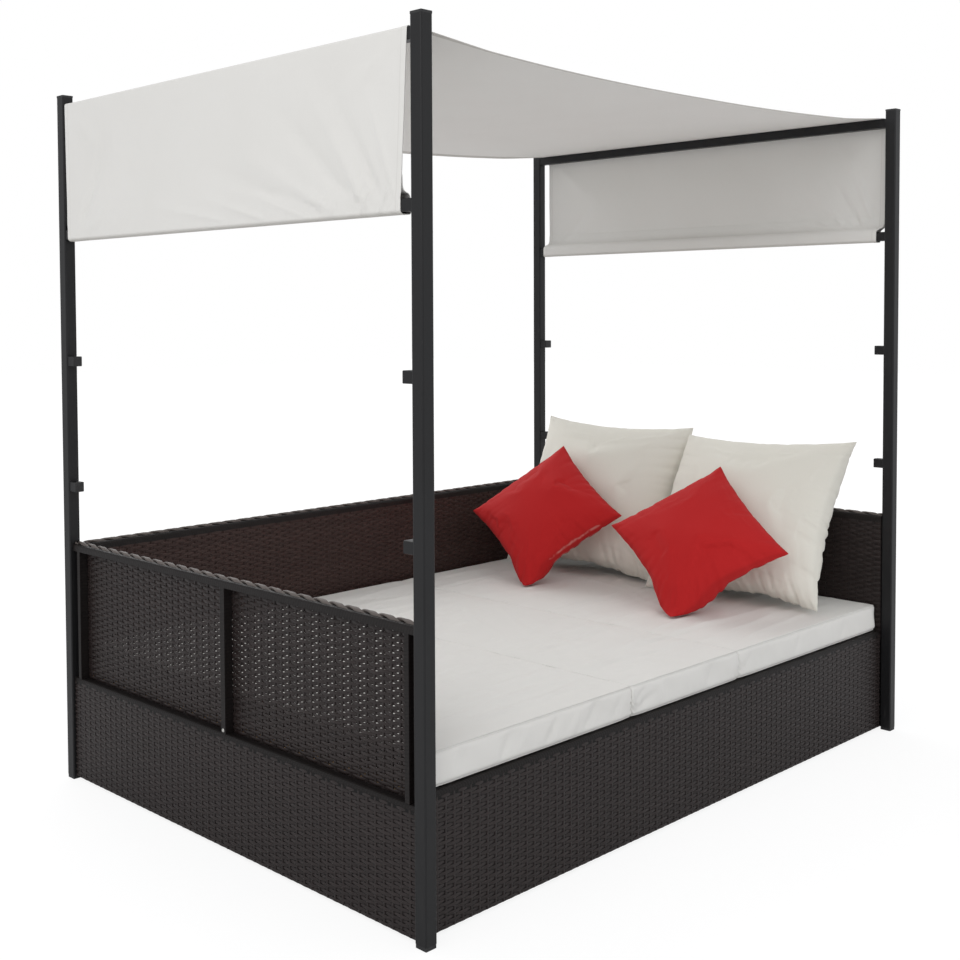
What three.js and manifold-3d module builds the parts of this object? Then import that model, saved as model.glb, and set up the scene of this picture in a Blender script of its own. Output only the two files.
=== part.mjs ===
// Outdoor daybed with a fabric canopy.
//
// Four tube posts carry woven base panels, a slatted deck and, above them, see-through woven
// panels on the two ends and the back. A crossbar joins the post tops at each end. The canopy
// is one sheet that runs over both crossbars and hangs down outside them, with a hem pocket
// at each end for a bar. The bar pushes onto joiners in short stubs on the posts, and lower
// stubs take it when the drop is to hang further down. Three mattress sections lie side by
// side on the deck, two large cushions lean on the right end and two small ones on those.
//
// Millimetres. X runs along the length, the open front faces -Y, Z is up, and the origin is
// on the floor under the middle of the frame.

import * as THREE from "three";
import { mergeGeometries, mergeVertices } from "three/addons/utils/BufferGeometryUtils.js";
import Module from "manifold-3d";

const wasm = await Module();
wasm.setup();

// Overall envelope
const OVERALL_LENGTH = 1900;
const OVERALL_DEPTH = 1300;
const OVERALL_HEIGHT = 1750;

// Shared clearances
const SEAT_GAP = 0.3;
const CUT_OVERRUN = 6;
const MERGE_TOLERANCE = 0.003;

// Posts, their caps and their feet
const POST_SIZE = 30;
const POST_WALL = 1.5;
const POST_CORNER = 3;
const CAP_THICKNESS = 5;
const CAP_CORNER = 1.2;
const FOOT_HEIGHT = 8;
const FOOT_INSET = 1;
const SHANK_DEPTH = 18;

// Square bars: crossbars, hem bars and the stubs that carry them
const BAR_SIZE = 25;
const BAR_WALL = 1.5;
const BAR_CORNER = 2;
const CROSSBAR_DROP = 25;
const STUB_LENGTH = 25;
const STUB_BELOW_TOP = 352.5;
const STUB_ABOVE_PANEL = 147.5;
const END_PLUG_THICKNESS = 1.6;
const END_PLUG_DEPTH = 12;
const JOINER_COLLAR = 2;
const JOINER_DEPTH = 20;

// Push-in shanks
const SHANK_WALL_GAP = 0.3;
const FIN_DEPTH = 1;
const FIN_THICKNESS = 1.5;
const FIN_PITCH = 5;

// Woven base panels
const BASE_LONG_TOP = 283;
const BASE_END_LOWER_BY = 17;
const BASE_THICKNESS = 25;
const BASE_SKIN = 4;
const BASE_RIM_HEIGHT = 17;
const BASE_RIM_PROUD = 1.2;
const BASE_RIM_CORNER = 5;
const BASE_RAIL = 24;
const BASE_UPRIGHT = 22;
const END_FACE_INSET = 8;
const FLANGE_WIDTH = 20;
const FLANGE_SETBACK = 12;
const LEDGER_WIDTH = 20;
const LEDGER_HEIGHT = 20;

// Woven upper panels
const UPPER_TOP = 610;
const UPPER_FRAME_DEPTH = 22;
const UPPER_RAIL_HEIGHT = 18;
const UPPER_RAIL_CORNER = 6;
const UPPER_STILE = 12;
const UPPER_MULLION = 15;
const END_MULLION_OFFSET = 14;
const WOVEN_THICKNESS = 4;

// Slatted deck
const DECK_THICKNESS = 20;
const DECK_RAIL = 40;
const DECK_SLAT = 60;
const DECK_ABOVE_RIM = 2.3;

// Mattress sections
const MATTRESS_THICKNESS = 77;
const MATTRESS_CROWN = 6;
const MATTRESS_SIDE_BULGE = 5;
const MATTRESS_CORNER_PULL = 9;
const MATTRESS_SIDE_GAP = 2;
const MATTRESS_BACK_GAP = 4;
const MATTRESS_FRONT_INSET = 2;
const MATTRESS_JOINT_LEFT = -250;
const MATTRESS_JOINT_RIGHT = 192;
const MATTRESS_JOINT_GAP = 1;

// Large cushions leaning on the right end
const CREAM_HEIGHT = 526;
const CREAM_HALF_THICKNESS = 118;
const CREAM_DRAW_IN = 28;
const CREAM_PARTING = 5;
const CREAM_BACK_GAP = 61;
const CREAM_FRONT_GAP = 60;
const CREAM_LEFT_TURN_DEG = 7;
const CREAM_LEFT_LEAN_DEG = 28.4;
const CREAM_LEFT_SPIN_DEG = -1.6;
const CREAM_RIGHT_TURN_DEG = 3.5;
const CREAM_RIGHT_LEAN_DEG = 32.3;
const CREAM_RIGHT_SPIN_DEG = 1.3;

// Small cushions standing on a corner against the large ones
const RED_NARROWER_BY = 174;
const RED_HALF_THICKNESS = 80;
const RED_DRAW_IN = 14;
const RED_SETTLING = 0.65;
const RED_LEFT_ASIDE = 16.5;
const RED_LEFT_TURN_DEG = 12;
const RED_LEFT_LEAN_DEG = 39.7;
const RED_LEFT_SPIN_DEG = 48.5;
const RED_RIGHT_ASIDE = 6;
const RED_RIGHT_TURN_DEG = 18.3;
const RED_RIGHT_LEAN_DEG = 42.9;
const RED_RIGHT_SPIN_DEG = 39.6;

// Canopy sheet
const FABRIC_THICKNESS = 1.6;
const FABRIC_GAP = 0.4;
const ROOF_SIDE_GAP = 8;
const ROOF_SAG = 29;
const HEM_NARROWING = 18;
const HEM_STITCH_RISE = 9;
const HEM_SLACK = 3;
const FOLD_DEPTH = 5;

// How sharply the soft forms turn toward their seams
const SWELL_POWER = 0.8;
const FLATTENING_SHARE = 0.12;
const CROWN_POWER = 4;
const CORNER_POWER = 8;

// Counts
const BASE_BAYS_END = 2;
const BASE_BAYS_LONG = 3;
const DECK_SLATS = 13;
const STUB_ROWS = 3;
const SHANK_FINS = 2;
const FOLDS_ACROSS = 3;
const CUSHION_CELLS = 14;
const MATTRESS_CELLS = [10, 14, 4];
const DROP_STEPS = 5;
const ROOF_STEPS = 14;
const CANOPY_STEPS = 12;
const HEM_STEPS = 4;
const SETTLE_HALVINGS = 40;

const QUARTER_TURN = Math.PI / 2;
const HALF_TURN = Math.PI;

// Derived sizes and places
const halfLength = OVERALL_LENGTH / 2;
const halfDepth = OVERALL_DEPTH / 2;
const postInnerY = halfDepth - POST_SIZE;
const barCentreX = halfLength - POST_SIZE / 2;
const barOuterX = barCentreX + BAR_SIZE / 2;
const barInnerX = barCentreX - BAR_SIZE / 2;
const crossbarTop = OVERALL_HEIGHT - CROSSBAR_DROP;
const stubEndY = postInnerY - STUB_LENGTH;
const hemBarEndY = stubEndY - JOINER_COLLAR;
const endPanelOuterX = halfLength - END_FACE_INSET;
const upperPanelDepth = UPPER_FRAME_DEPTH + WOVEN_THICKNESS;
const panelDepth = Math.max(upperPanelDepth, BASE_THICKNESS);
const endPanelInnerX = endPanelOuterX - panelDepth;
const endPanelLength = 2 * (postInnerY - SEAT_GAP);
const longPanelLength = 2 * (endPanelInnerX - SEAT_GAP);
const backPanelInnerY = postInnerY - panelDepth;
const baseEndTop = BASE_LONG_TOP - BASE_END_LOWER_BY;
const deckTop = BASE_LONG_TOP + DECK_ABOVE_RIM;
const deckBottom = deckTop - DECK_THICKNESS;
const deckLength = longPanelLength;
const deckDepth = 2 * (backPanelInnerY - SEAT_GAP);
const stubTopHeight = OVERALL_HEIGHT - STUB_BELOW_TOP;
const stubPitch = (stubTopHeight - UPPER_TOP - STUB_ABOVE_PANEL) / (STUB_ROWS - 1);
const hemStitchZ = stubTopHeight + BAR_SIZE / 2 + HEM_STITCH_RISE;
const mattressBottom = deckTop + SEAT_GAP;
const mattressTop = mattressBottom + MATTRESS_THICKNESS;
const creamBackY = backPanelInnerY - CREAM_BACK_GAP;
const creamFrontY = CREAM_FRONT_GAP - postInnerY;
const creamWidth = (creamBackY - creamFrontY - CREAM_PARTING) / 2;
const creamLeftY = creamBackY - creamWidth / 2;
const creamRightY = creamFrontY + creamWidth / 2;
const redSize = creamWidth - RED_NARROWER_BY;

const postTube = { size: POST_SIZE, wall: POST_WALL, corner: POST_CORNER };
const barTube = { size: BAR_SIZE, wall: BAR_WALL, corner: BAR_CORNER };
const capHead = { size: POST_SIZE, corner: CAP_CORNER, thickness: CAP_THICKNESS };
const footHead = { size: POST_SIZE - 2 * FOOT_INSET, corner: CAP_CORNER, thickness: FOOT_HEIGHT };
const stubHead = { size: BAR_SIZE, corner: BAR_CORNER, thickness: END_PLUG_THICKNESS };

const creamCushion = {
  width: creamWidth,
  height: CREAM_HEIGHT,
  halfThickness: CREAM_HALF_THICKNESS,
  drawIn: CREAM_DRAW_IN,
};
const redCushion = {
  width: redSize,
  height: redSize,
  halfThickness: RED_HALF_THICKNESS,
  drawIn: RED_DRAW_IN,
};

const materials = {
  paintedMetal: { color: 0x2b2b2d, roughness: 0.45, metalness: 0.6 },
  plastic: { color: 0x161617, roughness: 0.55, metalness: 0 },
  rattan: { color: 0x2c2624, roughness: 0.5, metalness: 0 },
  wovenRattan: { color: 0x332b28, roughness: 0.5, metalness: 0 },
  deckWood: { color: 0xb89468, roughness: 0.7, metalness: 0 },
  canopyFabric: { color: 0xdcdcd6, roughness: 0.9, metalness: 0 },
  mattressFabric: { color: 0xd9d9d4, roughness: 0.95, metalness: 0 },
  creamFabric: { color: 0xcfccc1, roughness: 0.95, metalness: 0 },
  redFabric: { color: 0xb01c22, roughness: 0.9, metalness: 0 },
};

// Makes a manifold solid from a closed three.js geometry.
function solidFrom(geometry) {
  const bare = geometry.index ? geometry.toNonIndexed() : geometry.clone();
  bare.deleteAttribute("normal");
  bare.deleteAttribute("uv");
  const merged = mergeVertices(bare);
  return new wasm.Manifold(
    new wasm.Mesh({
      numProp: 3,
      vertProperties: new Float32Array(merged.attributes.position.array),
      triVerts: new Uint32Array(merged.index.array),
    }),
  );
}

// Turns a manifold solid back into a geometry.
function geometryFrom(solid) {
  const mesh = solid.getMesh();
  const geometry = new THREE.BufferGeometry();
  geometry.setAttribute("position", new THREE.BufferAttribute(mesh.vertProperties, 3));
  geometry.setIndex(new THREE.BufferAttribute(mesh.triVerts, 1));
  return geometry;
}

// Joins geometries into one body.
function join(geometries) {
  const solids = geometries.map(solidFrom);
  return geometryFrom(solids.reduce((body, solid) => body.add(solid)));
}

// Takes the cutters out of a geometry.
function cut(geometry, cutters) {
  const tools = cutters.map(solidFrom);
  return geometryFrom(tools.reduce((body, tool) => body.subtract(tool), solidFrom(geometry)));
}

// An axis-aligned block between two corners.
function block(low, high) {
  const size = high.map((value, axis) => value - low[axis]);
  const geometry = new THREE.BoxGeometry(...size);
  return geometry.translate(...low.map((value, axis) => value + size[axis] / 2));
}

// Draws a rectangle with round corners about the origin.
function drawRoundedRectangle(path, width, height, radius) {
  const x = width / 2 - radius;
  const y = height / 2 - radius;
  path.absarc(x, y, radius, 0, QUARTER_TURN);
  path.absarc(-x, y, radius, QUARTER_TURN, HALF_TURN);
  path.absarc(-x, -y, radius, HALF_TURN, HALF_TURN + QUARTER_TURN);
  path.absarc(x, -y, radius, HALF_TURN + QUARTER_TURN, 2 * HALF_TURN);
  path.closePath();
  return path;
}

// Extrudes a shape up Z, with two facets on each round corner.
function extrudeUp(shape, depth) {
  return new THREE.ExtrudeGeometry(shape, { depth, bevelEnabled: false, curveSegments: 1 });
}

// A square hollow tube standing on z = 0.
function squareTube({ size, wall, corner }, length) {
  const shape = drawRoundedRectangle(new THREE.Shape(), size, size, corner);
  const bore = size - 2 * wall;
  shape.holes.push(drawRoundedRectangle(new THREE.Path(), bore, bore, corner - wall));
  return extrudeUp(shape, length);
}

// A flat slice of a square bar with round corners, standing on z = bottom.
function slice(size, corner, bottom, thickness) {
  const shape = drawRoundedRectangle(new THREE.Shape(), size, size, corner);
  return extrudeUp(shape, thickness).translate(0, 0, bottom);
}

// A finned shank that pushes into a tube, from z = 0 down. It reaches a little way up into
// the head that it is moulded with.
function shankParts(tube, depth, headThickness) {
  const halfFin = tube.size / 2 - Math.max(tube.wall + SHANK_WALL_GAP, tube.corner);
  const halfCore = halfFin - FIN_DEPTH;
  const parts = [block([-halfCore, -halfCore, -depth], [halfCore, halfCore, headThickness / 2])];
  for (let fin = 1; fin <= SHANK_FINS; fin += 1) {
    const bottom = -fin * FIN_PITCH;
    parts.push(block([-halfFin, -halfFin, bottom], [halfFin, halfFin, bottom + FIN_THICKNESS]));
  }
  return parts;
}

// A push-in plug: a flat head standing on the tube's end at z = 0, and its finned shank.
function plug(head, tube, depth) {
  return join([
    slice(head.size, head.corner, 0, head.thickness),
    ...shankParts(tube, depth, head.thickness),
  ]);
}

// A double-ended connector: a collar between two tubes, with a shank into each.
function joiner(tube) {
  const lower = shankParts(tube, JOINER_DEPTH, JOINER_COLLAR);
  const upper = shankParts(tube, JOINER_DEPTH, JOINER_COLLAR).map((part) =>
    part.rotateX(HALF_TURN).translate(0, 0, JOINER_COLLAR),
  );
  return join([slice(tube.size, tube.corner, 0, JOINER_COLLAR), ...lower, ...upper]);
}

// Turns a profile drawn as (depth inward, height) into a bar along X, centred on x = 0.
function barAlongX(profile, length) {
  const geometry = extrudeUp(profile, length);
  const toPanelAxes = new THREE.Matrix4().set(0, 0, 1, -length / 2, 1, 0, 0, 0, 0, 1, 0, 0, 0, 0, 0, 1);
  return geometry.applyMatrix4(toPanelAxes);
}

// The profile of a base panel: woven face, proud rounded rim on top, flat back.
function basePanelProfile(height) {
  const radius = BASE_RIM_CORNER;
  const profile = new THREE.Shape();
  profile.moveTo(BASE_RIM_PROUD, 0);
  profile.lineTo(BASE_THICKNESS, 0);
  profile.absarc(BASE_THICKNESS - radius, height - radius, radius, 0, QUARTER_TURN);
  profile.absarc(radius, height - radius, radius, QUARTER_TURN, HALF_TURN);
  profile.lineTo(0, height - BASE_RIM_HEIGHT);
  profile.lineTo(BASE_RIM_PROUD, height - BASE_RIM_HEIGHT - BASE_RIM_PROUD);
  profile.closePath();
  return profile;
}

// Places of the bays between the uprights of a base panel.
function bayEdges(length, bays, upright) {
  const pitch = (length - upright) / bays;
  return Array.from({ length: bays }, (_, bay) => {
    const start = -length / 2 + upright + bay * pitch;
    return [start, start + pitch - upright];
  });
}

// A base panel: a woven skin wrapped over a welded frame, whose bays are open at the back.
// Its outer face is at y = 0, facing -Y, and it stands on z = 0.
function basePanel(length, height, bays, bayTop) {
  const body = barAlongX(basePanelProfile(height), length);
  const cutters = bayEdges(length, bays, BASE_UPRIGHT).map(([start, end]) =>
    block(
      [start, BASE_SKIN + BASE_RIM_PROUD, BASE_RAIL],
      [end, BASE_THICKNESS + CUT_OVERRUN, bayTop],
    ),
  );
  return cut(body, cutters);
}

// The end base panels run from post to post, their bays closed by a rail along the top.
function endBasePanel() {
  const height = baseEndTop - FOOT_HEIGHT;
  return basePanel(endPanelLength, height, BASE_BAYS_END, height - BASE_RAIL);
}

// The long base panels carry a ledger on their back for the deck.
function longBasePanel() {
  const height = BASE_LONG_TOP - FOOT_HEIGHT;
  const ledgerTop = deckBottom - FOOT_HEIGHT;
  const ledgerBottom = ledgerTop - LEDGER_HEIGHT;
  const half = longPanelLength / 2;
  const ledger = block(
    [-half, BASE_THICKNESS / 2, ledgerBottom],
    [half, BASE_THICKNESS + LEDGER_WIDTH, ledgerTop],
  );
  return join([basePanel(longPanelLength, height, BASE_BAYS_LONG, ledgerBottom), ledger]);
}

// The profile of an upper panel's top rail, rounded along both top edges.
function upperRailProfile(height) {
  const radius = UPPER_RAIL_CORNER;
  const bottom = height - UPPER_RAIL_HEIGHT;
  const profile = new THREE.Shape();
  profile.moveTo(0, bottom);
  profile.lineTo(upperPanelDepth, bottom);
  profile.absarc(upperPanelDepth - radius, height - radius, radius, 0, QUARTER_TURN);
  profile.absarc(radius, height - radius, radius, QUARTER_TURN, HALF_TURN);
  profile.closePath();
  return profile;
}

// An upper panel's frame: top rail, mullions, and stiles with a set-back flange by each post.
// Its outer face is at y = 0, facing -Y, and it stands on z = 0.
function upperFrame(length, height, mullionPlaces) {
  const intoRail = height - UPPER_RAIL_HEIGHT + UPPER_RAIL_CORNER;
  const upright = (low, high, front) => block([low, front, 0], [high, UPPER_FRAME_DEPTH, intoRail]);
  const parts = [barAlongX(upperRailProfile(height), length)];
  for (const side of [-1, 1]) {
    const outer = side * (length / 2);
    const stileOuter = side * (length / 2 - FLANGE_WIDTH);
    const stileInner = side * (length / 2 - FLANGE_WIDTH - UPPER_STILE);
    parts.push(upright(Math.min(outer, stileInner), Math.max(outer, stileInner), FLANGE_SETBACK));
    parts.push(upright(Math.min(stileOuter, stileInner), Math.max(stileOuter, stileInner), 0));
  }
  for (const place of mullionPlaces) {
    parts.push(upright(place - UPPER_MULLION / 2, place + UPPER_MULLION / 2, 0));
  }
  return join(parts);
}

// The woven sheet on the bed side of an upper frame, under its top rail.
function wovenSheet(length, height) {
  return block(
    [-length / 2, UPPER_FRAME_DEPTH, 0],
    [length / 2, upperPanelDepth, height - UPPER_RAIL_HEIGHT - SEAT_GAP],
  );
}

// The deck: a flat wooden grille, slats glued between two long rails, standing on z = 0.
function slattedDeck() {
  const halfX = deckLength / 2;
  const halfY = deckDepth / 2;
  const parts = [-1, 1].map((side) =>
    block(
      [-halfX, side < 0 ? -halfY : halfY - DECK_RAIL, 0],
      [halfX, side < 0 ? DECK_RAIL - halfY : halfY, DECK_THICKNESS],
    ),
  );
  const pitch = (deckLength - DECK_SLAT) / (DECK_SLATS - 1);
  for (let slat = 0; slat < DECK_SLATS; slat += 1) {
    const start = slat * pitch - halfX;
    parts.push(block([start, -halfY, 0], [start + DECK_SLAT, halfY, DECK_THICKNESS]));
  }
  return join(parts);
}

// Moves every vertex of a geometry and merges the ones that meet.
function reshape(geometry, move) {
  const bare = geometry.clone();
  bare.deleteAttribute("normal");
  bare.deleteAttribute("uv");
  const merged = mergeVertices(bare);
  const position = merged.attributes.position;
  const point = new THREE.Vector3();
  for (let index = 0; index < position.count; index += 1) {
    point.fromBufferAttribute(position, index);
    move(point);
    position.setXYZ(index, point.x, point.y, point.z);
  }
  return merged;
}

// A boxed mattress section on z = 0: crowned top, sides that draw in to their seams, and
// softened corners.
function mattressSection(width, depth) {
  const unitBox = new THREE.BoxGeometry(2, 2, 2, ...MATTRESS_CELLS);
  return reshape(unitBox, (point) => {
    const { x: u, y: v, z: w } = point;
    const seamInset = MATTRESS_SIDE_BULGE * w * w;
    const crown = w > 0 ? MATTRESS_CROWN * (1 - u ** CROWN_POWER) * (1 - v ** CROWN_POWER) : 0;
    const sideHeight = MATTRESS_THICKNESS - MATTRESS_CROWN;
    point.set(
      u * (width / 2 - seamInset - MATTRESS_CORNER_PULL * v ** CORNER_POWER),
      v * (depth / 2 - seamInset - MATTRESS_CORNER_PULL * u ** CORNER_POWER),
      (sideHeight * (1 + w)) / 2 + (crown * (1 + w)) / 2,
    );
  });
}

// How full a knife-edge cushion is at (u, v), which run from -1 to 1 between its seams.
function cushionFill(u, v) {
  const swell = Math.sqrt(Math.max(0, (1 - u * u) * (1 - v * v)));
  return swell ** SWELL_POWER * (1 - FLATTENING_SHARE * (1 - swell));
}

// A knife-edge cushion in the XZ plane, thickness along Y, with sides that draw in between
// pointed corners.
function knifeEdgeCushion({ width, height, halfThickness, drawIn }) {
  const face = (side) => {
    const sheet = new THREE.PlaneGeometry(2, 2, CUSHION_CELLS, CUSHION_CELLS);
    return reshape(side > 0 ? sheet : sheet.rotateY(HALF_TURN), (point) => {
      const { x: u, y: v } = point;
      point.set(
        u * (width / 2 - drawIn * (1 - v * v)),
        -side * halfThickness * cushionFill(u, v),
        v * (height / 2 - drawIn * (1 - u * u)),
      );
    });
  };
  return mergeVertices(mergeGeometries([face(1), face(-1)]), MERGE_TOLERANCE);
}

// The canopy's section, drawn as (x, height): the roof sags between the crossbars, and each
// drop ends in a loop round its hem bar. `surface` is the distance out from the inner face.
function canopyOutline(surface) {
  const faceX = barOuterX + FABRIC_GAP + surface;
  const roofZ = crossbarTop + FABRIC_GAP + surface;
  const bend = surface + FABRIC_GAP;
  const drop = [];
  for (let step = 0; step <= DROP_STEPS; step += 1) {
    drop.push([faceX, THREE.MathUtils.lerp(hemStitchZ, crossbarTop - BAR_SIZE, step / DROP_STEPS)]);
  }
  drop.push([faceX, roofZ - bend], [faceX - bend, roofZ]);
  const roof = [];
  for (let step = 0; step <= ROOF_STEPS; step += 1) {
    const share = (2 * step) / ROOF_STEPS - 1;
    roof.push([barInnerX * share, roofZ - ROOF_SAG * (1 - share * share)]);
  }
  return [...drop.map(([x, z]) => [-x, z]), ...roof, ...drop.reverse()];
}

// The loop of a hem pocket on the side of `side`, `surface` out from its inner face.
function hemLoop(side, surface) {
  const gap = FABRIC_GAP + surface;
  const low = stubTopHeight - BAR_SIZE / 2 - gap - HEM_SLACK;
  const high = stubTopHeight + BAR_SIZE / 2;
  const loop = [
    [side * (barOuterX + gap), high + HEM_STITCH_RISE + surface],
    [side * (barOuterX + gap), low + HEM_SLACK],
    [side * (barOuterX + gap - HEM_SLACK), low],
    [side * (barInnerX - gap + HEM_SLACK), low],
    [side * (barInnerX - gap), low + HEM_SLACK],
    [side * (barInnerX - gap), high + gap],
  ];
  return side < 0 ? loop : loop.reverse();
}

// Extrudes an outline drawn as (x, height) along Y, centred on y = 0.
function extrudeAlongY(outline, width, steps, hole) {
  const shape = new THREE.Shape(outline.map(([x, z]) => new THREE.Vector2(x, z)));
  if (hole) {
    shape.holes.push(new THREE.Path(hole.map(([x, z]) => new THREE.Vector2(x, z))));
  }
  const geometry = new THREE.ExtrudeGeometry(shape, { depth: width, steps, bevelEnabled: false });
  return geometry.rotateX(QUARTER_TURN).translate(0, width / 2, 0);
}

// The canopy: one sheet over both crossbars, narrowing down each drop, with soft upright
// folds there and a pocket round each hem bar.
function canopySheet() {
  const width = 2 * (postInnerY - ROOF_SIDE_GAP);
  const sheetOutline = [...canopyOutline(0), ...canopyOutline(FABRIC_THICKNESS).reverse()];
  const parts = [extrudeAlongY(sheetOutline, width, CANOPY_STEPS)];
  for (const side of [-1, 1]) {
    const loop = hemLoop(side, FABRIC_THICKNESS);
    parts.push(extrudeAlongY(loop, width, HEM_STEPS, hemLoop(side, 0)));
  }
  const foldHeight = crossbarTop - BAR_SIZE - hemStitchZ;
  return reshape(join(parts), (point) => {
    const onDrop = Math.abs(point.x) > barInnerX ? 1 : 0;
    const narrowed = THREE.MathUtils.clamp((crossbarTop - point.z) / (BAR_SIZE + foldHeight), 0, 1);
    const folded = THREE.MathUtils.clamp((point.z - hemStitchZ) / foldHeight, 0, 1);
    const across = point.y / (width / 2);
    const wave = 0.5 - 0.5 * Math.cos(FOLDS_ACROSS * HALF_TURN * (across + 1));
    point.y *= 1 - (onDrop * narrowed * HEM_NARROWING) / (width / 2);
    point.x -= onDrop * Math.sign(point.x) * FOLD_DEPTH * wave * Math.sin(HALF_TURN * folded) ** 2;
  });
}

// Adds a named piece to its group.
function addPiece(parent, name, geometry, finish, position = [0, 0, 0], rotation = [0, 0, 0]) {
  const mesh = new THREE.Mesh(geometry, new THREE.MeshStandardMaterial(materials[finish]));
  mesh.name = name;
  mesh.position.set(...position);
  mesh.rotation.set(...rotation);
  parent.add(mesh);
  return mesh;
}

// The four posts, each with its cap, its foot and its row of bar stubs.
function addPosts(parent) {
  const postLength = OVERALL_HEIGHT - CAP_THICKNESS - FOOT_HEIGHT;
  for (const [frontBack, sideY] of [["front", -1], ["back", 1]]) {
    for (const [leftRight, sideX] of [["left", -1], ["right", 1]]) {
      const corner = `${frontBack}_${leftRight}`;
      const group = new THREE.Group();
      group.position.set(sideX * barCentreX, sideY * (halfDepth - POST_SIZE / 2), 0);
      parent.add(group);
      addPiece(
        group,
        `post_${corner}`,
        squareTube(postTube, postLength),
        "paintedMetal",
        [0, 0, FOOT_HEIGHT],
      );
      addPiece(
        group,
        `post_cap_${corner}`,
        plug(capHead, postTube, SHANK_DEPTH),
        "plastic",
        [0, 0, OVERALL_HEIGHT - CAP_THICKNESS],
      );
      addPiece(
        group,
        `foot_${corner}`,
        plug(footHead, postTube, SHANK_DEPTH),
        "plastic",
        [0, 0, FOOT_HEIGHT],
        [HALF_TURN, 0, 0],
      );
      addStubs(parent, corner, sideX, sideY);
    }
  }
}

// The stubs of one post. The top one holds a joiner for the hem bar, the others end plugs.
function addStubs(parent, corner, sideX, sideY) {
  const towardMiddle = [sideY * QUARTER_TURN, 0, 0];
  const levels = ["high", "middle", "low"];
  for (let row = 0; row < STUB_ROWS; row += 1) {
    const height = stubTopHeight - row * stubPitch;
    const group = new THREE.Group();
    group.position.set(sideX * barCentreX, sideY * postInnerY, height);
    group.rotation.set(...towardMiddle);
    parent.add(group);
    addPiece(
      group,
      `bar_stub_${corner}_${levels[row]}`,
      squareTube(barTube, STUB_LENGTH),
      "paintedMetal",
    );
    if (row === 0) {
      addPiece(group, `bar_joiner_${corner}`, joiner(barTube), "plastic", [0, 0, STUB_LENGTH]);
    } else {
      addPiece(
        group,
        `stub_plug_${corner}_${levels[row]}`,
        plug(stubHead, barTube, END_PLUG_DEPTH),
        "plastic",
        [0, 0, STUB_LENGTH],
      );
    }
  }
}

// The crossbar and the hem bar of each end, and the canopy over them.
function addCanopy(parent) {
  for (const [leftRight, sideX] of [["left", -1], ["right", 1]]) {
    addPiece(
      parent,
      `crossbar_${leftRight}`,
      squareTube(barTube, 2 * postInnerY),
      "paintedMetal",
      [sideX * barCentreX, -postInnerY, crossbarTop - BAR_SIZE / 2],
      [-QUARTER_TURN, 0, 0],
    );
    addPiece(
      parent,
      `hem_bar_${leftRight}`,
      squareTube(barTube, 2 * hemBarEndY),
      "paintedMetal",
      [sideX * barCentreX, -hemBarEndY, stubTopHeight],
      [-QUARTER_TURN, 0, 0],
    );
  }
  addPiece(parent, "canopy", canopySheet(), "canopyFabric");
}

// Base panels, upper panels and the deck.
function addPanels(parent) {
  const upperEndHeight = UPPER_TOP - baseEndTop;
  for (const [leftRight, sideX] of [["left", -1], ["right", 1]]) {
    const end = new THREE.Group();
    end.position.set(sideX * endPanelOuterX, 0, 0);
    end.rotation.set(0, 0, sideX * QUARTER_TURN);
    parent.add(end);
    const mullion = sideX * END_MULLION_OFFSET;
    addPiece(end, `base_panel_${leftRight}`, endBasePanel(), "rattan", [0, 0, FOOT_HEIGHT]);
    addPiece(
      end,
      `upper_frame_${leftRight}`,
      upperFrame(endPanelLength, upperEndHeight, [-mullion]),
      "rattan",
      [0, 0, baseEndTop],
    );
    addPiece(
      end,
      `woven_sheet_${leftRight}`,
      wovenSheet(endPanelLength, upperEndHeight),
      "wovenRattan",
      [0, 0, baseEndTop],
    );
  }
  addPiece(parent, "base_panel_front", longBasePanel(), "rattan", [0, -postInnerY, FOOT_HEIGHT]);
  const back = new THREE.Group();
  back.position.set(0, postInnerY, 0);
  back.rotation.set(0, 0, HALF_TURN);
  parent.add(back);
  const upperBackHeight = UPPER_TOP - BASE_LONG_TOP;
  const bayPitch = (longPanelLength - UPPER_MULLION) / BASE_BAYS_LONG;
  const backMullions = [-bayPitch / 2, bayPitch / 2];
  addPiece(back, "base_panel_back", longBasePanel(), "rattan", [0, 0, FOOT_HEIGHT]);
  addPiece(
    back,
    "upper_frame_back",
    upperFrame(longPanelLength, upperBackHeight, backMullions),
    "rattan",
    [0, 0, BASE_LONG_TOP],
  );
  addPiece(
    back,
    "woven_sheet_back",
    wovenSheet(longPanelLength, upperBackHeight),
    "wovenRattan",
    [0, 0, BASE_LONG_TOP],
  );
  addPiece(parent, "deck_frame", slattedDeck(), "deckWood", [0, 0, deckBottom]);
}

// Three mattress sections, side by side on the deck.
function addMattress(parent) {
  const edge = endPanelInnerX - MATTRESS_SIDE_GAP;
  const joints = [-edge, MATTRESS_JOINT_LEFT, MATTRESS_JOINT_RIGHT, edge];
  const front = -(postInnerY - MATTRESS_FRONT_INSET);
  const back = backPanelInnerY - MATTRESS_BACK_GAP;
  ["left", "middle", "right"].forEach((place, section) => {
    const start = joints[section] + MATTRESS_JOINT_GAP / 2;
    const end = joints[section + 1] - MATTRESS_JOINT_GAP / 2;
    addPiece(
      parent,
      `mattress_${place}`,
      mattressSection(end - start, back - front),
      "mattressFabric",
      [(start + end) / 2, (front + back) / 2, mattressBottom],
    );
  });
}

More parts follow.
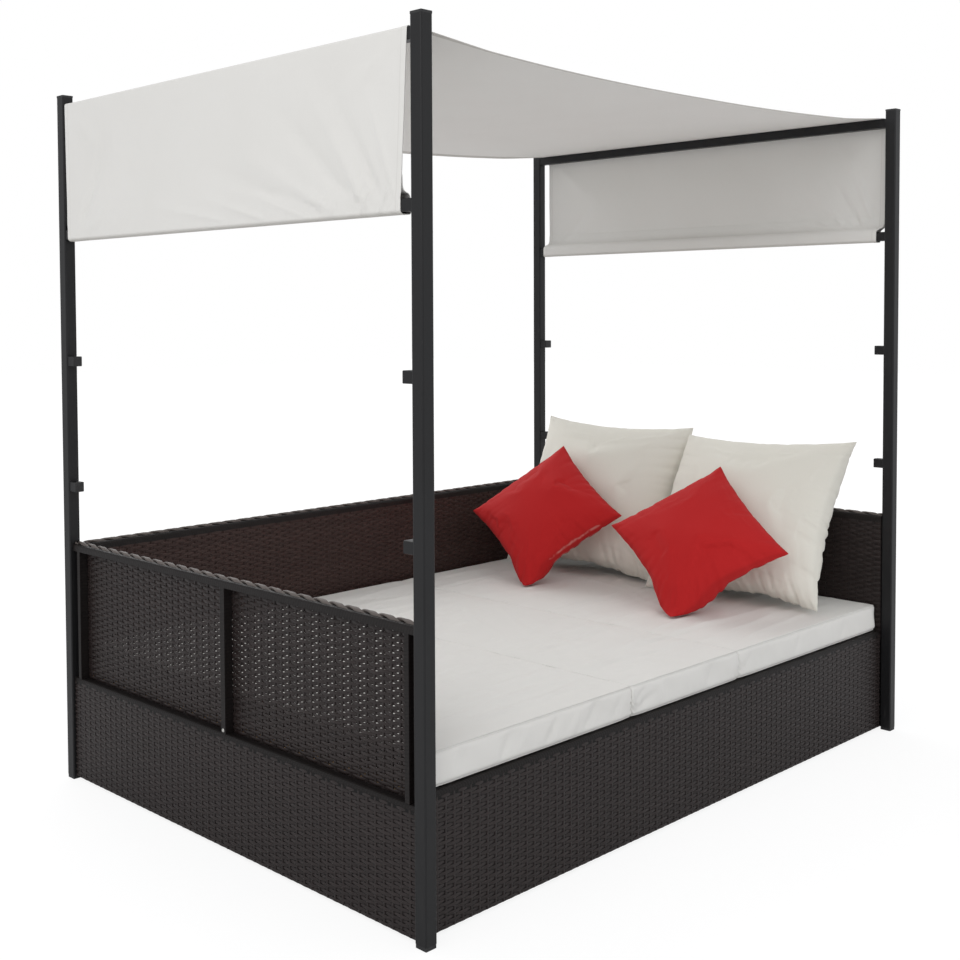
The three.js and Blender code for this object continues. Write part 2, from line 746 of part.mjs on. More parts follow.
// A cushion that faces the left end, spun in its own plane, leant back and then turned about
// the vertical; its lowest point stands on the mattress. Returns it with its movable place.
function standCushion(parent, name, sizes, material, centreY, turnsDeg) {
  const [turn, lean, spin] = turnsDeg.map(THREE.MathUtils.degToRad);
  const place = new THREE.Group();
  place.position.set(0, centreY, 0);
  place.rotation.set(0, 0, turn);
  const leaning = new THREE.Group();
  leaning.rotation.set(0, lean, 0);
  parent.add(place);
  place.add(leaning);
  const facing = [-spin, 0, -QUARTER_TURN];
  const cushion = addPiece(leaning, name, knifeEdgeCushion(sizes), material, [0, 0, 0], facing);
  cushion.updateWorldMatrix(true, false);
  const lowest = new THREE.Box3().setFromObject(cushion, true).min.z;
  place.position.z = mattressTop + SEAT_GAP - lowest;
  return { cushion, place };
}

// How far a cushion reaches along X below a height.
function reachBelow(cushion, height) {
  cushion.updateWorldMatrix(true, false);
  const { index, attributes } = cushion.geometry;
  const corner = (step) => {
    const point = new THREE.Vector3().fromBufferAttribute(attributes.position, index.getX(step));
    return point.applyMatrix4(cushion.matrixWorld);
  };
  let reach = -Infinity;
  for (let step = 0; step < index.count; step += 1) {
    const from = corner(step);
    const to = corner(step % 3 === 2 ? step - 2 : step + 1);
    if (from.z <= height) {
      reach = Math.max(reach, from.x);
    }
    if ((from.z - height) * (to.z - height) < 0) {
      reach = Math.max(reach, from.lerp(to, (height - from.z) / (to.z - from.z)).x);
    }
  }
  return reach;
}

// The large cushions stand on the mattress and lean on the right end's top rail.
function addCreamCushions(parent) {
  const leftTurns = [CREAM_LEFT_TURN_DEG, CREAM_LEFT_LEAN_DEG, CREAM_LEFT_SPIN_DEG];
  const rightTurns = [CREAM_RIGHT_TURN_DEG, CREAM_RIGHT_LEAN_DEG, CREAM_RIGHT_SPIN_DEG];
  const places = [
    ["cream_cushion_left", creamLeftY, leftTurns],
    ["cream_cushion_right", creamRightY, rightTurns],
  ];
  return places.map(([name, centreY, turns]) => {
    const stood = standCushion(parent, name, creamCushion, "creamFabric", centreY, turns);
    const { cushion, place } = stood;
    place.position.x = endPanelInnerX - SEAT_GAP - reachBelow(cushion, UPPER_TOP);
    return cushion;
  });
}

// The least gap between a cushion and the front of the cushions that it leans on.
function gapToFront(cushion, carriers) {
  cushion.updateWorldMatrix(true, false);
  const position = cushion.geometry.attributes.position;
  const point = new THREE.Vector3();
  let least = Infinity;
  for (const carrier of carriers) {
    carrier.updateWorldMatrix(true, false);
    const toCarrier = carrier.matrixWorld.clone().invert().multiply(cushion.matrixWorld);
    for (let index = 0; index < position.count; index += 1) {
      point.fromBufferAttribute(position, index).applyMatrix4(toCarrier);
      const u = point.x / (creamCushion.width / 2);
      const v = point.z / (creamCushion.height / 2);
      if (Math.abs(u) < 1 && Math.abs(v) < 1) {
        least = Math.min(least, -point.y - creamCushion.halfThickness * cushionFill(u, v));
      }
    }
  }
  return least;
}

// The small cushions stand on one corner and lean on the large ones: each moves along X,
// from where it touches nothing, until only the seating gap is left. The faceted faces lie
// a little inside the true ones, so it settles by that much more.
function addRedCushions(parent, carriers) {
  const leftTurns = [RED_LEFT_TURN_DEG, RED_LEFT_LEAN_DEG, RED_LEFT_SPIN_DEG];
  const rightTurns = [RED_RIGHT_TURN_DEG, RED_RIGHT_LEAN_DEG, RED_RIGHT_SPIN_DEG];
  const places = [
    ["red_cushion_left", creamLeftY + RED_LEFT_ASIDE, leftTurns],
    ["red_cushion_right", creamRightY + RED_RIGHT_ASIDE, rightTurns],
  ];
  for (const [name, centreY, turns] of places) {
    const stood = standCushion(parent, name, redCushion, "redFabric", centreY, turns);
    const { cushion, place } = stood;
    place.position.z -= RED_SETTLING;
    let free = 0;
    let blocked = endPanelInnerX;
    for (let halving = 0; halving < SETTLE_HALVINGS; halving += 1) {
      place.position.x = (free + blocked) / 2;
      if (gapToFront(cushion, carriers) > SEAT_GAP - RED_SETTLING) {
        free = place.position.x;
      } else {
        blocked = place.position.x;
      }
    }
    place.position.x = free;
  }
}

const daybed = new THREE.Group();
addPosts(daybed);
addPanels(daybed);
addCanopy(daybed);
addMattress(daybed);
const creamCushions = addCreamCushions(daybed);
addRedCushions(daybed, creamCushions);

export default daybed;
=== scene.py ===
"""Looks of an outdoor daybed with a canopy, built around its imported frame.

Metres, in the frame of the part: X along the length, the open front faces -Y, Z is up.
"""

import logging
import math
from collections.abc import Iterable, Sequence
from dataclasses import dataclass, field, replace
from enum import Enum

import bpy
import numpy as np
from mathutils import Matrix, Vector, noise
from mathutils.bvhtree import BVHTree


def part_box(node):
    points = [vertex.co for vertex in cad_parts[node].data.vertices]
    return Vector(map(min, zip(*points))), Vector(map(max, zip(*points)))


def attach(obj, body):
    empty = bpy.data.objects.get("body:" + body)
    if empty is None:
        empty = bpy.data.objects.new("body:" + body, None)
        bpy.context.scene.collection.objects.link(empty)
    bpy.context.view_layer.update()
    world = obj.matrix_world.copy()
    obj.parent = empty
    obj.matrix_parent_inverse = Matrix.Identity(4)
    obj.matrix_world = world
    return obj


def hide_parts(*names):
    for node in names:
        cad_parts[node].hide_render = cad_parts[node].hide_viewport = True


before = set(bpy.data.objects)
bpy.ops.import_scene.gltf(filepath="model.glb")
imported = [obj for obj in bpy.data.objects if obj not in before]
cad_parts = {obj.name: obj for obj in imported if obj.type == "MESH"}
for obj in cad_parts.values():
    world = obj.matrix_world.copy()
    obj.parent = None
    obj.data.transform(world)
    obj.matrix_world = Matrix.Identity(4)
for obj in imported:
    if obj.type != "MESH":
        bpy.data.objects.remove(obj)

log = logging.getLogger("daybed")

ROOT_BODY = "frame"
Colour = tuple[float, float, float]


class Side(Enum):
    """The two ends of the daybed, by the sign of X."""

    LEFT = -1
    RIGHT = 1

    @property
    def word(self) -> str:
        """The side's name as used in node names."""
        return self.name.lower()


class Filling(Enum):
    """How tight a stuffed piece is."""

    FOAM = 0.9
    FIBRE = 0.7


# Shader maths


class Socket:
    """An output in a material's node tree that Python's operators can work on."""

    def __init__(self, shader: "Shader", link: bpy.types.NodeSocket) -> None:
        """Wraps an output.

        Args:
            shader: The shader that the output belongs to.
            link: The output itself.
        """
        self.shader = shader
        self.link = link

    def _maths(self, operation: str, *values: "Socket | float") -> "Socket":
        """Adds a Math node over the given values."""
        return self.shader.node("ShaderNodeMath", {"operation": operation}, dict(enumerate(values)))

    def __add__(self, other: "Socket | float") -> "Socket":
        """self + other."""
        return self._maths("ADD", self, other)

    def __sub__(self, other: "Socket | float") -> "Socket":
        """self - other."""
        return self._maths("SUBTRACT", self, other)

    def __rsub__(self, other: "Socket | float") -> "Socket":
        """other - self."""
        return self._maths("SUBTRACT", other, self)

    def __mul__(self, other: "Socket | float") -> "Socket":
        """self * other."""
        return self._maths("MULTIPLY", self, other)

    def __pow__(self, other: "Socket | float") -> "Socket":
        """self ** other."""
        return self._maths("POWER", self, other)

    def __rpow__(self, other: "Socket | float") -> "Socket":
        """other ** self."""
        return self._maths("POWER", other, self)

    __radd__ = __add__
    __rmul__ = __mul__

    def above(self, threshold: float, soft: float) -> "Socket":
        """A mask that rises from 0 to 1 around a threshold.

        Args:
            threshold: Where the mask is a half.
            soft: How far the rise reaches on each side.

        Returns:
            The mask.
        """
        return self.shader.node(
            "ShaderNodeMapRange",
            {"interpolation_type": "SMOOTHSTEP"},
            {"Value": self, "From Min": threshold - soft, "From Max": threshold + soft},
        )

    def sine(self) -> "Socket":
        """The sine of the value."""
        return self._maths("SINE", self)

    def absolute(self) -> "Socket":
        """The value without its sign."""
        return self._maths("ABSOLUTE", self)

    def largest(self, other: "Socket | float") -> "Socket":
        """The larger of two values."""
        return self._maths("MAXIMUM", self, other)


class Shader:
    """The node tree of one material, or of the world."""

    def __init__(self, name: str, world: bool = False) -> None:
        """Makes an empty material or world.

        Args:
            name: Its name.
            world: Whether it is a world.
        """
        self.owner = (bpy.data.worlds if world else bpy.data.materials).new(name)
        self.owner.use_nodes = True
        self.tree = self.owner.node_tree
        self.tree.nodes.clear()
        self.output = self.tree.nodes.new("ShaderNodeOutput" + ("World" if world else "Material"))

    def node(
        self,
        kind: str,
        settings: dict[str, object] | None = None,
        inputs: dict[str | int, object] | None = None,
        output: str | int = 0,
    ) -> Socket:
        """Adds any node.

        Args:
            kind: The node's type.
            settings: Its settings; "stops" holds a colour ramp's (place, colour) pairs.
            inputs: Values or sockets by input name or index.
            output: The output to return.

        Returns:
            The wanted output.
        """
        node = self.tree.nodes.new(kind)
        for key, value in (settings or {}).items():
            if key == "stops":
                self._set_stops(node.color_ramp, value)
            else:
                setattr(node, key, value)
        for key, value in (inputs or {}).items():
            if isinstance(value, Socket):
                self.tree.links.new(value.link, node.inputs[key])
            else:
                node.inputs[key].default_value = value
        return Socket(self, node.outputs[output])

    @staticmethod
    def _set_stops(ramp: bpy.types.ColorRamp, stops: Sequence[tuple[float, Colour]]) -> None:
        """Gives a colour ramp its stops.

        Args:
            ramp: The ramp.
            stops: The place and colour of each stop.
        """
        while len(ramp.elements) < len(stops):
            ramp.elements.new(1.0)
        for element, (place, colour) in zip(ramp.elements, stops):
            element.position = place
            element.color = (*colour, 1.0)

    def position(self, stretch: Colour = (1.0, 1.0, 1.0)) -> Socket:
        """The place on the piece in metres, stretched per axis."""
        place = self.node("ShaderNodeTexCoord", output="Object")
        return self.node("ShaderNodeVectorMath", {"operation": "MULTIPLY"}, {0: place, 1: stretch})

    def axis(self, name: str) -> Socket:
        """One coordinate of the place on the piece, in metres."""
        place = self.node("ShaderNodeTexCoord", output="Object")
        return self.node("ShaderNodeSeparateXYZ", inputs={0: place}, output=name)

    def mark(self, name: str) -> Socket:
        """A number that the mesh carries at each point."""
        return self.node("ShaderNodeAttribute", {"attribute_name": name}, output="Fac")

    def cloud(
        self,
        scale: float,
        detail: float = 2.0,
        stretch: Colour = (1.0, 1.0, 1.0),
        distortion: float = 0.0,
    ) -> Socket:
        """Soft noise around a half.

        Args:
            scale: Blobs per metre.
            detail: Octaves.
            stretch: Multipliers per axis.
            distortion: How much the noise warps itself.

        Returns:
            The noise, from 0 to 1.
        """
        return self.node(
            "ShaderNodeTexNoise",
            inputs={
                "Vector": self.position(stretch),
                "Scale": scale,
                "Detail": detail,
                "Distortion": distortion,
            },
        )

    def mix(self, share: Socket | float, low: object, high: object) -> Socket:
        """Blends two colours.

        Args:
            share: How much of the second colour.
            low: First colour.
            high: Second colour.

        Returns:
            The blended colour.
        """
        colours = {
            6: low if isinstance(low, Socket) else (*low, 1.0),
            7: high if isinstance(high, Socket) else (*high, 1.0),
        }
        return self.node("ShaderNodeMix", {"data_type": "RGBA"}, {0: share, **colours}, 2)

    def bump(self, height: Socket, depth: float, strength: float = 1.0) -> Socket:
        """A normal bent by a height between 0 and 1.

        Args:
            height: The height.
            depth: How deep a height of 1 is, in metres.
            strength: How much of the bend shows.

        Returns:
            The normal.
        """
        return self.node(
            "ShaderNodeBump", inputs={"Strength": strength, "Distance": depth, "Height": height}
        )

    def close(self, surface: Socket) -> bpy.types.Material | bpy.types.World:
        """Puts a surface out, and gives back the material or world."""
        self.tree.links.new(surface.link, self.output.inputs["Surface"])
        return self.owner

    def finish(self, **sockets: object) -> bpy.types.Material:
        """Closes the material with a Principled shader.

        Args:
            **sockets: Values by socket name, with underscores for spaces.

        Returns:
            The material.
        """
        surface = self.node(
            "ShaderNodeBsdfPrincipled",
            inputs={name.replace("_", " "): value for name, value in sockets.items()},
        )
        return self.close(surface)


# Finishes


@dataclass(frozen=True)
class PowderCoat:
    """Charcoal powder coat on square tube: satin, faintly pebbled, scuffed near the floor."""

    colour: Colour = (0.0095, 0.0094, 0.0100)
    scuffed: Colour = (0.046, 0.045, 0.044)
    roughness: float = 0.42
    pebble_scale: float = 1400.0
    scuff_height: float = 0.16

    def material(self) -> bpy.types.Material:
        """Builds the material.

        Returns:
            The material.
        """
        shader = Shader("powder_coat")
        pebbles = shader.cloud(self.pebble_scale, 1.0)
        patches = shader.cloud(9.0, 3.0)
        streaks = shader.cloud(60.0, 4.0, (1.0, 1.0, 0.12))
        low = 1 - shader.axis("Z").above(self.scuff_height / 2, self.scuff_height / 2)
        scuffs = streaks.above(0.68, 0.07) * (low * 0.7 + 0.12)
        tone = shader.mix(patches, self.colour, tuple(c * 1.35 for c in self.colour))
        return shader.finish(
            Base_Color=shader.mix(scuffs, tone, self.scuffed),
            Roughness=patches * 0.10 + scuffs * 0.2 + (self.roughness - 0.05),
            Specular_IOR_Level=0.28,
            Normal=shader.bump(pebbles, 0.00012, 0.35),
        )


@dataclass(frozen=True)
class MouldedPlastic:
    """Black injection-moulded plastic with a fine spark-eroded grain."""

    colour: Colour = (0.012, 0.012, 0.013)
    roughness: float = 0.52
    grain_scale: float = 2600.0

    def material(self) -> bpy.types.Material:
        """Builds the material.

        Returns:
            The material.
        """
        shader = Shader("moulded_plastic")
        grain = shader.cloud(self.grain_scale, 2.0)
        dust = shader.cloud(45.0, 4.0).above(0.6, 0.15)
        return shader.finish(
            Base_Color=shader.mix(dust * 0.35, self.colour, (0.035, 0.034, 0.032)),
            Roughness=dust * 0.15 + self.roughness,
            Normal=shader.bump(grain, 0.00008, 0.5),
        )


def strip_backs(along: Socket, strip: float) -> Socket:
    """Height of neighbouring strips that run across `along`: round backs, narrow grooves."""
    return (along * (math.pi / strip)).sine().absolute() ** 0.35


@dataclass(frozen=True)
class WoundRattan:
    """Flat synthetic rattan wound closely round a rail, and upright round stiles and mullions."""

    colour: Colour = (0.0070, 0.0052, 0.0049)
    light: Colour = (0.0165, 0.0128, 0.0120)
    # Painted shade in the narrow grooves between the wound strips.
    groove: Colour = (0.003, 0.0022, 0.002)
    strip: float = 0.0076
    rail_bottom: float = 0.592

    def material(self, axis: str, name: str) -> bpy.types.Material:
        """Builds the material.

        Args:
            axis: The axis that the panel's rails run along.
            name: The material's name.

        Returns:
            The material.
        """
        shader = Shader(name)
        slant = shader.axis("Z") * 0.35
        on_rail = strip_backs(shader.axis(axis) + slant, self.strip)
        on_upright = strip_backs(shader.axis("Z") + shader.axis(axis) * 0.2, self.strip)
        rail = shader.axis("Z").above(self.rail_bottom, 0.001)
        height = on_rail * rail + on_upright * (1 - rail)
        grain = shader.cloud(420.0, 3.0)
        patches = shader.cloud(28.0, 3.0)
        tone = shader.mix(patches * 0.5 + grain * 0.5, self.colour, self.light)
        return shader.finish(
            # Painted shade: the grooves between the strips are darkened.
            Base_Color=shader.mix(1 - height, tone, self.groove),
            Roughness=grain * 0.2 + 0.40,
            Specular_IOR_Level=0.22,
            Normal=shader.bump(height * 0.8 + grain * 0.2, 0.0006, 0.7),
        )


@dataclass(frozen=True)
class RattanStrand:
    """A flat strand of dark brown synthetic rattan with fine ribs along it."""

    dark: Colour = (0.0118, 0.0080, 0.0074)
    light: Colour = (0.031, 0.0218, 0.0204)
    roughness: float = 0.40
    shine: float = 0.28

    def material(self, name: str) -> bpy.types.Material:
        """Builds the material.

        Args:
            name: The material's name.

        Returns:
            The material.
        """
        shader = Shader(name)
        tone = shader.mark("tone")
        ribs = shader.cloud(160.0, 3.0, (0.25, 0.25, 9.0))
        patches = shader.cloud(14.0, 2.0)
        share = tone * 0.55 + ribs * 0.3 + patches * 0.15
        return shader.finish(
            Base_Color=shader.mix(share, self.dark, self.light),
            Roughness=ribs * 0.22 + (self.roughness - 0.08),
            Specular_IOR_Level=self.shine,
            Normal=shader.bump(ribs, 0.00025, 0.6),
        )


@dataclass(frozen=True)
class BaseBacking:
    """What shows between the strands of a base panel, painted near black as shade, and its wound rim."""

    # Painted shade: the near black between the strands and in the rim's grooves.
    pit: Colour = (0.003, 0.0022, 0.002)
    rim: Colour = (0.0060, 0.0045, 0.0042)
    rim_light: Colour = (0.0140, 0.0108, 0.0100)
    strip: float = 0.0076

    def material(self, axis: str, rim_bottom: float, name: str) -> bpy.types.Material:
        """Builds the material.

        Args:
            axis: The axis that the panel runs along.
            rim_bottom: Height where the wound rim starts.
            name: The material's name.

        Returns:
            The material.
        """
        shader = Shader(name)
        on_rim = shader.axis("Z").above(rim_bottom, 0.0006)
        strips = strip_backs(shader.axis(axis) + shader.axis("Z") * 0.4, self.strip)
        grain = shader.cloud(380.0, 3.0)
        wound = shader.mix(grain, self.rim, self.rim_light)
        # Painted shade in the grooves between the rim's wound strips.
        wound = shader.mix(1 - strips, wound, self.pit)
        return shader.finish(
            # Below the rim, the backing is all painted shade.
            Base_Color=shader.mix(on_rim, self.pit, wound),
            Roughness=grain * 0.2 + 0.42,
            Specular_IOR_Level=0.2,
            Normal=shader.bump(strips * on_rim + grain * 0.15, 0.0006, 0.8),
        )


@dataclass(frozen=True)
class Softwood:
    """Bare planed softwood for the deck's slats."""

    early: Colour = (0.50, 0.33, 0.17)
    late: Colour = (0.30, 0.165, 0.075)

    def material(self) -> bpy.types.Material:
        """Builds the material.

        Returns:
            The material.
        """
        shader = Shader("softwood")
        rings = shader.cloud(30.0, 4.0, (3.0, 0.25, 3.0), 1.2)
        fibres = shader.cloud(420.0, 3.0, (1.0, 0.05, 1.0))
        knots = shader.cloud(5.0, 1.0).above(0.72, 0.05)
        tone = shader.mix(rings.above(0.52, 0.16) * 0.7 + knots * 0.3, self.early, self.late)
        return shader.finish(
            Base_Color=shader.mix(fibres * 0.25, tone, self.late),
            Roughness=fibres * 0.2 + 0.55,
            Normal=shader.bump(fibres, 0.0003, 0.5),
        )


@dataclass(frozen=True)
class Cloth:
    """A plain woven cloth: threads, slubs, soft soiling, and stitching where the mesh marks it; on the
    canopy the same mark also paints shade.
    """

    name: str
    colour: Colour
    shade: Colour
    thread: float = 0.0007
    roughness: float = 0.85
    sheen: float = 0.15
    # Stitch colour; on the canopy it also paints shade on the hem bottoms and the roof's edges.
    stitch: Colour = (0.55, 0.55, 0.5)
    stitch_depth: float = 0.0006
    zip_colour: Colour | None = None

    def _threads(self, shader: Shader) -> Socket:
        """Crossing threads as a height between 0 and 1.

        Args:
            shader: The cloth's shader.

        Returns:
            The height.
        """
        turn = 2 * math.pi / self.thread
        waves = [
            (shader.axis(a) * turn).sine() * (shader.axis(b) * turn).sine()
            for a, b in (("X", "Y"), ("Y", "Z"), ("X", "Z"))
        ]
        return (waves[0] + waves[1] + waves[2]) * 0.17 + 0.5

    def material(self) -> bpy.types.Material:
        """Builds the material.

        Returns:
            The material.
        """
        shader = Shader(self.name)
        threads = self._threads(shader)
        slubs = shader.cloud(240.0, 3.0, (1.0, 1.0, 0.25)).above(0.62, 0.12)
        slubs = slubs.largest(shader.cloud(240.0, 3.0, (0.25, 1.0, 1.0)).above(0.64, 0.12))
        soft = shader.cloud(6.0, 3.0)
        seam_and_shade = shader.mark("seam_and_shade")
        tone = shader.mix(soft * 0.5 + threads * 0.25 + slubs * 0.1, self.colour, self.shade)
        height = threads * 0.25 + slubs * 0.15 + (1 - seam_and_shade) * 0.6
        # The stitch colour goes where the mesh marks it; on the canopy this also paints shade on the hem
        # bottoms and the roof's edges.
        tone = shader.mix(seam_and_shade * 0.55, tone, self.stitch)
        if self.zip_colour:
            teeth = shader.cloud(55.0, 1.0).above(0.46, 0.12)
            share = shader.mark("zip").above(0.62, 0.25) * teeth * 0.45
            tone = shader.mix(share, tone, self.zip_colour)
        return shader.finish(
            Base_Color=tone,
            Roughness=threads * 0.08 + (self.roughness - 0.05),
            Normal=shader.bump(height, self.stitch_depth, 0.7),
            Sheen_Weight=self.sheen,
            Sheen_Roughness=0.6,
            Specular_IOR_Level=0.2,
        )


@dataclass(frozen=True)
class ZincScrew:
    """Bright zinc-plated steel of the small screws."""

    colour: Colour = (0.62, 0.61, 0.58)

    def material(self) -> bpy.types.Material:
        """Builds the material.

        Returns:
            The material.
        """
        shader = Shader("zinc_screw")
        stain = shader.cloud(900.0, 3.0).above(0.55, 0.2)
        return shader.finish(
            Base_Color=shader.mix(stain * 0.5, self.colour, (0.36, 0.34, 0.3)),
            Roughness=stain * 0.25 + 0.25,
            Metallic=1.0,
            Normal=shader.bump(stain, 0.00005, 0.4),
        )


# Meshes


class MeshBuilder:
    """Points, faces and marks gathered for one mesh."""

    def __init__(self) -> None:
        """Starts empty."""
        self.points: list[np.ndarray] = []
        self.faces: list[list[int]] = []
        self.marks: dict[str, list[np.ndarray]] = {}
        self.count = 0

    def add(self, points: np.ndarray, faces: Iterable[Sequence[int]], **marks: np.ndarray) -> None:
        """Adds a piece of mesh.

        Args:
            points: Its points, one row each.
            faces: Its faces, by point.
            **marks: Numbers for each point, or one number for all.
        """
        points = points.reshape(-1, 3)
        self.points.append(points)
        self.faces.extend((np.asarray(faces) + self.count).tolist())
        for name, value in marks.items():
            values = np.broadcast_to(np.asarray(value, float).reshape(-1), (len(points),))
            self.marks.setdefault(name, []).append(values)
        self.count += len(points)

    def add_tubes(self, grid: np.ndarray, closed: bool = True, **marks: np.ndarray) -> None:
        """Adds strips or tubes.

        Args:
            grid: Points in rows of (tube, along, around, 3).
            closed: Whether the last point around joins the first.
            **marks: Numbers for each point.
        """
        tubes, along, around = grid.shape[:3]
        ids = np.arange(tubes * along * around).reshape(tubes, along, around)
        ring = np.concatenate([ids, ids[:, :, :1]], 2) if closed else ids
        quads = np.stack(
            [ring[:, :-1, :-1], ring[:, 1:, :-1], ring[:, 1:, 1:], ring[:, :-1, 1:]], -1
        )
        self.add(grid, quads.reshape(-1, 4), **marks)

    def build(self, name: str, material: bpy.types.Material, body: str = ROOT_BODY) -> bpy.types.Object:
        """Makes the object, smooth-shaded, riding on its body.

        Args:
            name: The object's name.
            material: Its finish.
            body: The body that carries it.

        Returns:
            The object.
        """
        mesh = bpy.data.meshes.new(name)
        mesh.from_pydata(np.concatenate(self.points).tolist(), [], self.faces)
        for mark, parts in self.marks.items():
            values = mesh.attributes.new(mark, "FLOAT", "POINT")
            values.data.foreach_set("value", np.concatenate(parts).astype(np.float32))
        mesh.polygons.foreach_set("use_smooth", [True] * len(mesh.polygons))
        mesh.update()
        piece = bpy.data.objects.new(name, mesh)
        bpy.context.scene.collection.objects.link(piece)
        mesh.materials.append(material)
        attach(piece, body)
        log.info("%s: %d faces on %s", name, len(mesh.polygons), body)
        return piece


def points_of(piece: bpy.types.Object) -> np.ndarray:
    """Reads a piece's mesh.

    Args:
        piece: The piece.

    Returns:
        Its points, one row each.
    """
    flat = np.empty(len(piece.data.vertices) * 3)
    piece.data.vertices.foreach_get("co", flat)
    return flat.reshape(-1, 3)


def move_points(piece: bpy.types.Object, points: np.ndarray) -> None:
    """Puts a piece's points where `points` says."""
    piece.data.vertices.foreach_set("co", points.astype(np.float32).ravel())
    piece.data.update()


def keep_clear(points: np.ndarray, carriers: Iterable[bpy.types.Object], gap: float) -> np.ndarray:
    """Pushes points out of the pieces that a soft piece rests on.

    Args:
        points: The soft piece's points.
        carriers: The pieces to stay clear of.
        gap: The distance that is left.

    Returns:
        The points, moved where they were too close.
    """
    moved = points.copy()
    for carrier in carriers:
        tree = BVHTree.FromPolygons(
            [v.co[:] for v in carrier.data.vertices],
            [p.vertices[:] for p in carrier.data.polygons],
        )
        low = np.min([v.co for v in carrier.data.vertices], 0) - gap
        high = np.max([v.co for v in carrier.data.vertices], 0) + gap
        near = np.all((moved > low) & (moved < high), 1)
        for index in np.flatnonzero(near):
            point = Vector(moved[index])
            place, normal, _, _ = tree.find_nearest(point)
            depth = (point - place).dot(normal)
            if depth < gap and (depth > 0 or (point - place).length < 0.05):
                if depth > 0 and (point - place).length > gap:
                    continue
                moved[index] = point + normal * (gap - depth)
    return moved


def ripples(points: np.ndarray, scale: Sequence[float], seed: float, octaves: int = 2) -> np.ndarray:
    """Smooth noise at points, about from -1 to 1.

    Args:
        points: The points.
        scale: Waves per metre along each axis.
        seed: Shifts the noise.
        octaves: How many finer layers.

    Returns:
        One number for each point.
    """
    shifted = points * np.asarray(scale) + seed
    total = np.zeros(len(points))
    for octave in range(octaves):
        factor = 2.0**octave
        total += np.array([noise.noise(p) for p in (shifted * factor).tolist()]) / factor
    return total


def smoothstep(values: np.ndarray, low: float, high: float) -> np.ndarray:
    """Rises smoothly from 0 at `low` to 1 at `high`."""
    share = np.clip((values - low) / (high - low), 0, 1)
    return share * share * (3 - 2 * share)


@dataclass(frozen=True)
class Crease:
    """A soft ridge or valley along a straight stroke on a cloth's face.

    Places are metres on the face: along its hem or length, and up or across it.
    """

    start: tuple[float, float]
    end: tuple[float, float]
    depth: float
    width: float

    def height_at(self, along: np.ndarray, across: np.ndarray) -> np.ndarray:
        """How far the crease lifts the face at the given places.

        Args:
            along: First coordinates.
            across: Second coordinates.

        Returns:
            The lift, strongest at the start and fading toward the end.
        """
        first, last = np.array(self.start), np.array(self.end)
        way = last - first
        length = float(np.linalg.norm(way))
        way = way / length
        run = (along - first[0]) * way[0] + (across - first[1]) * way[1]
        aside = (across - first[1]) * way[0] - (along - first[0]) * way[1]
        share = np.clip(run / length, 0, 1)
        wide = self.width * (0.45 + 0.55 * share)
        fade = (1 - share) ** 0.7 * smoothstep(run, -0.02, 0.03)
        return self.depth * fade * np.exp(-((aside / wide) ** 2))


def crease_sum(creases: Iterable[Crease], along: np.ndarray, across: np.ndarray) -> np.ndarray:
    """The lift of several creases together."""
    return sum((crease.height_at(along, across) for crease in creases), np.zeros(len(along)))


# Frame


@dataclass
class Framework:
    """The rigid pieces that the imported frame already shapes: their finishes, and the screws."""

    screw_radius: float = 0.0042
    screw_height: float = 0.0024
    screw_aside: float = -0.014
    screw_rise: float = 0.0072
    slot_width: float = 0.0011
    slot_depth: float = 0.0009
    screw_sides: int = 20
    #: The head's profile as shares of its radius and height, from the rim to the middle.
    screw_shares: tuple[tuple[float, float], ...] = (
        (1.0, 0.0), (1.0, 0.35), (0.93, 0.62), (0.75, 0.86), (0.45, 1.0), (0.12, 1.0)
    )
    #: How far the recess reaches, as a share of the head's radius.
    slot_reach_share: float = 0.8
    mullion_width: float = 0.015

    def dress(self) -> None:
        """Gives posts, bars, plugs, feet and deck their finishes."""
        finishes = {
            ("post_cap", "foot", "bar_joiner", "stub_plug"): MouldedPlastic().material(),
            ("post_", "bar_stub", "crossbar", "hem_bar"): PowderCoat().material(),
            ("deck_frame",): Softwood().material(),
        }
        for name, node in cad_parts.items():
            for prefixes, material in finishes.items():
                if name.startswith(prefixes):
                    set_material(node, material)
                    break

    def _screw(self, builder: MeshBuilder, place: Vector, facing: Vector) -> None:
        """Adds a pan-head screw with a cross recess.

        Args:
            builder: Takes the mesh.
            place: The middle of the head's seat.
            facing: The way that the head faces.
        """
        turn = facing.to_track_quat("Z", "Y").to_matrix()
        angles = -np.linspace(0, 2 * math.pi, self.screw_sides, endpoint=False)
        rings = []
        for radius, height in self.screw_shares:
            cross = np.minimum(np.abs(np.cos(angles)), np.abs(np.sin(angles))) * radius
            slot = (cross * self.screw_radius < self.slot_width / 2) & (radius < self.slot_reach_share)
            z = height * self.screw_height - np.where(slot, self.slot_depth, 0)
            reach = radius * self.screw_radius
            rings.append(np.stack([reach * np.cos(angles), reach * np.sin(angles), z], -1))
        grid = np.array(rings) @ np.array(turn).T + np.array(place)
        builder.add_tubes(grid[None])
        builder.add(grid[-1], [list(reversed(range(self.screw_sides)))])

    def build_screws(self) -> bpy.types.Object:
        """Adds the screws through the feet of the upper panels' mullions.

        Returns:
            The screws as one piece.
        """
        builder = MeshBuilder()
        for side in Side:
            low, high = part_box(f"upper_frame_{side.word}")
            outer = low.x if side is Side.LEFT else high.x
            place = Vector((outer, self.screw_aside, low.z + self.screw_rise))
            self._screw(builder, place, Vector((side.value, 0, 0)))
        low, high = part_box("upper_frame_back")
        mullion = (high.x - low.x - self.mullion_width) / 6
        for x in (-mullion, mullion):
            self._screw(builder, Vector((x, high.y, low.z + self.screw_rise)), Vector((0, 1, 0)))
        piece = builder.build("panel_screws", ZincScrew().material())
        return piece


def set_material(piece: bpy.types.Object, material: bpy.types.Material) -> None:
    """Makes a material the only one of a piece."""
    piece.data.materials.clear()
    piece.data.materials.append(material)


# Rattan


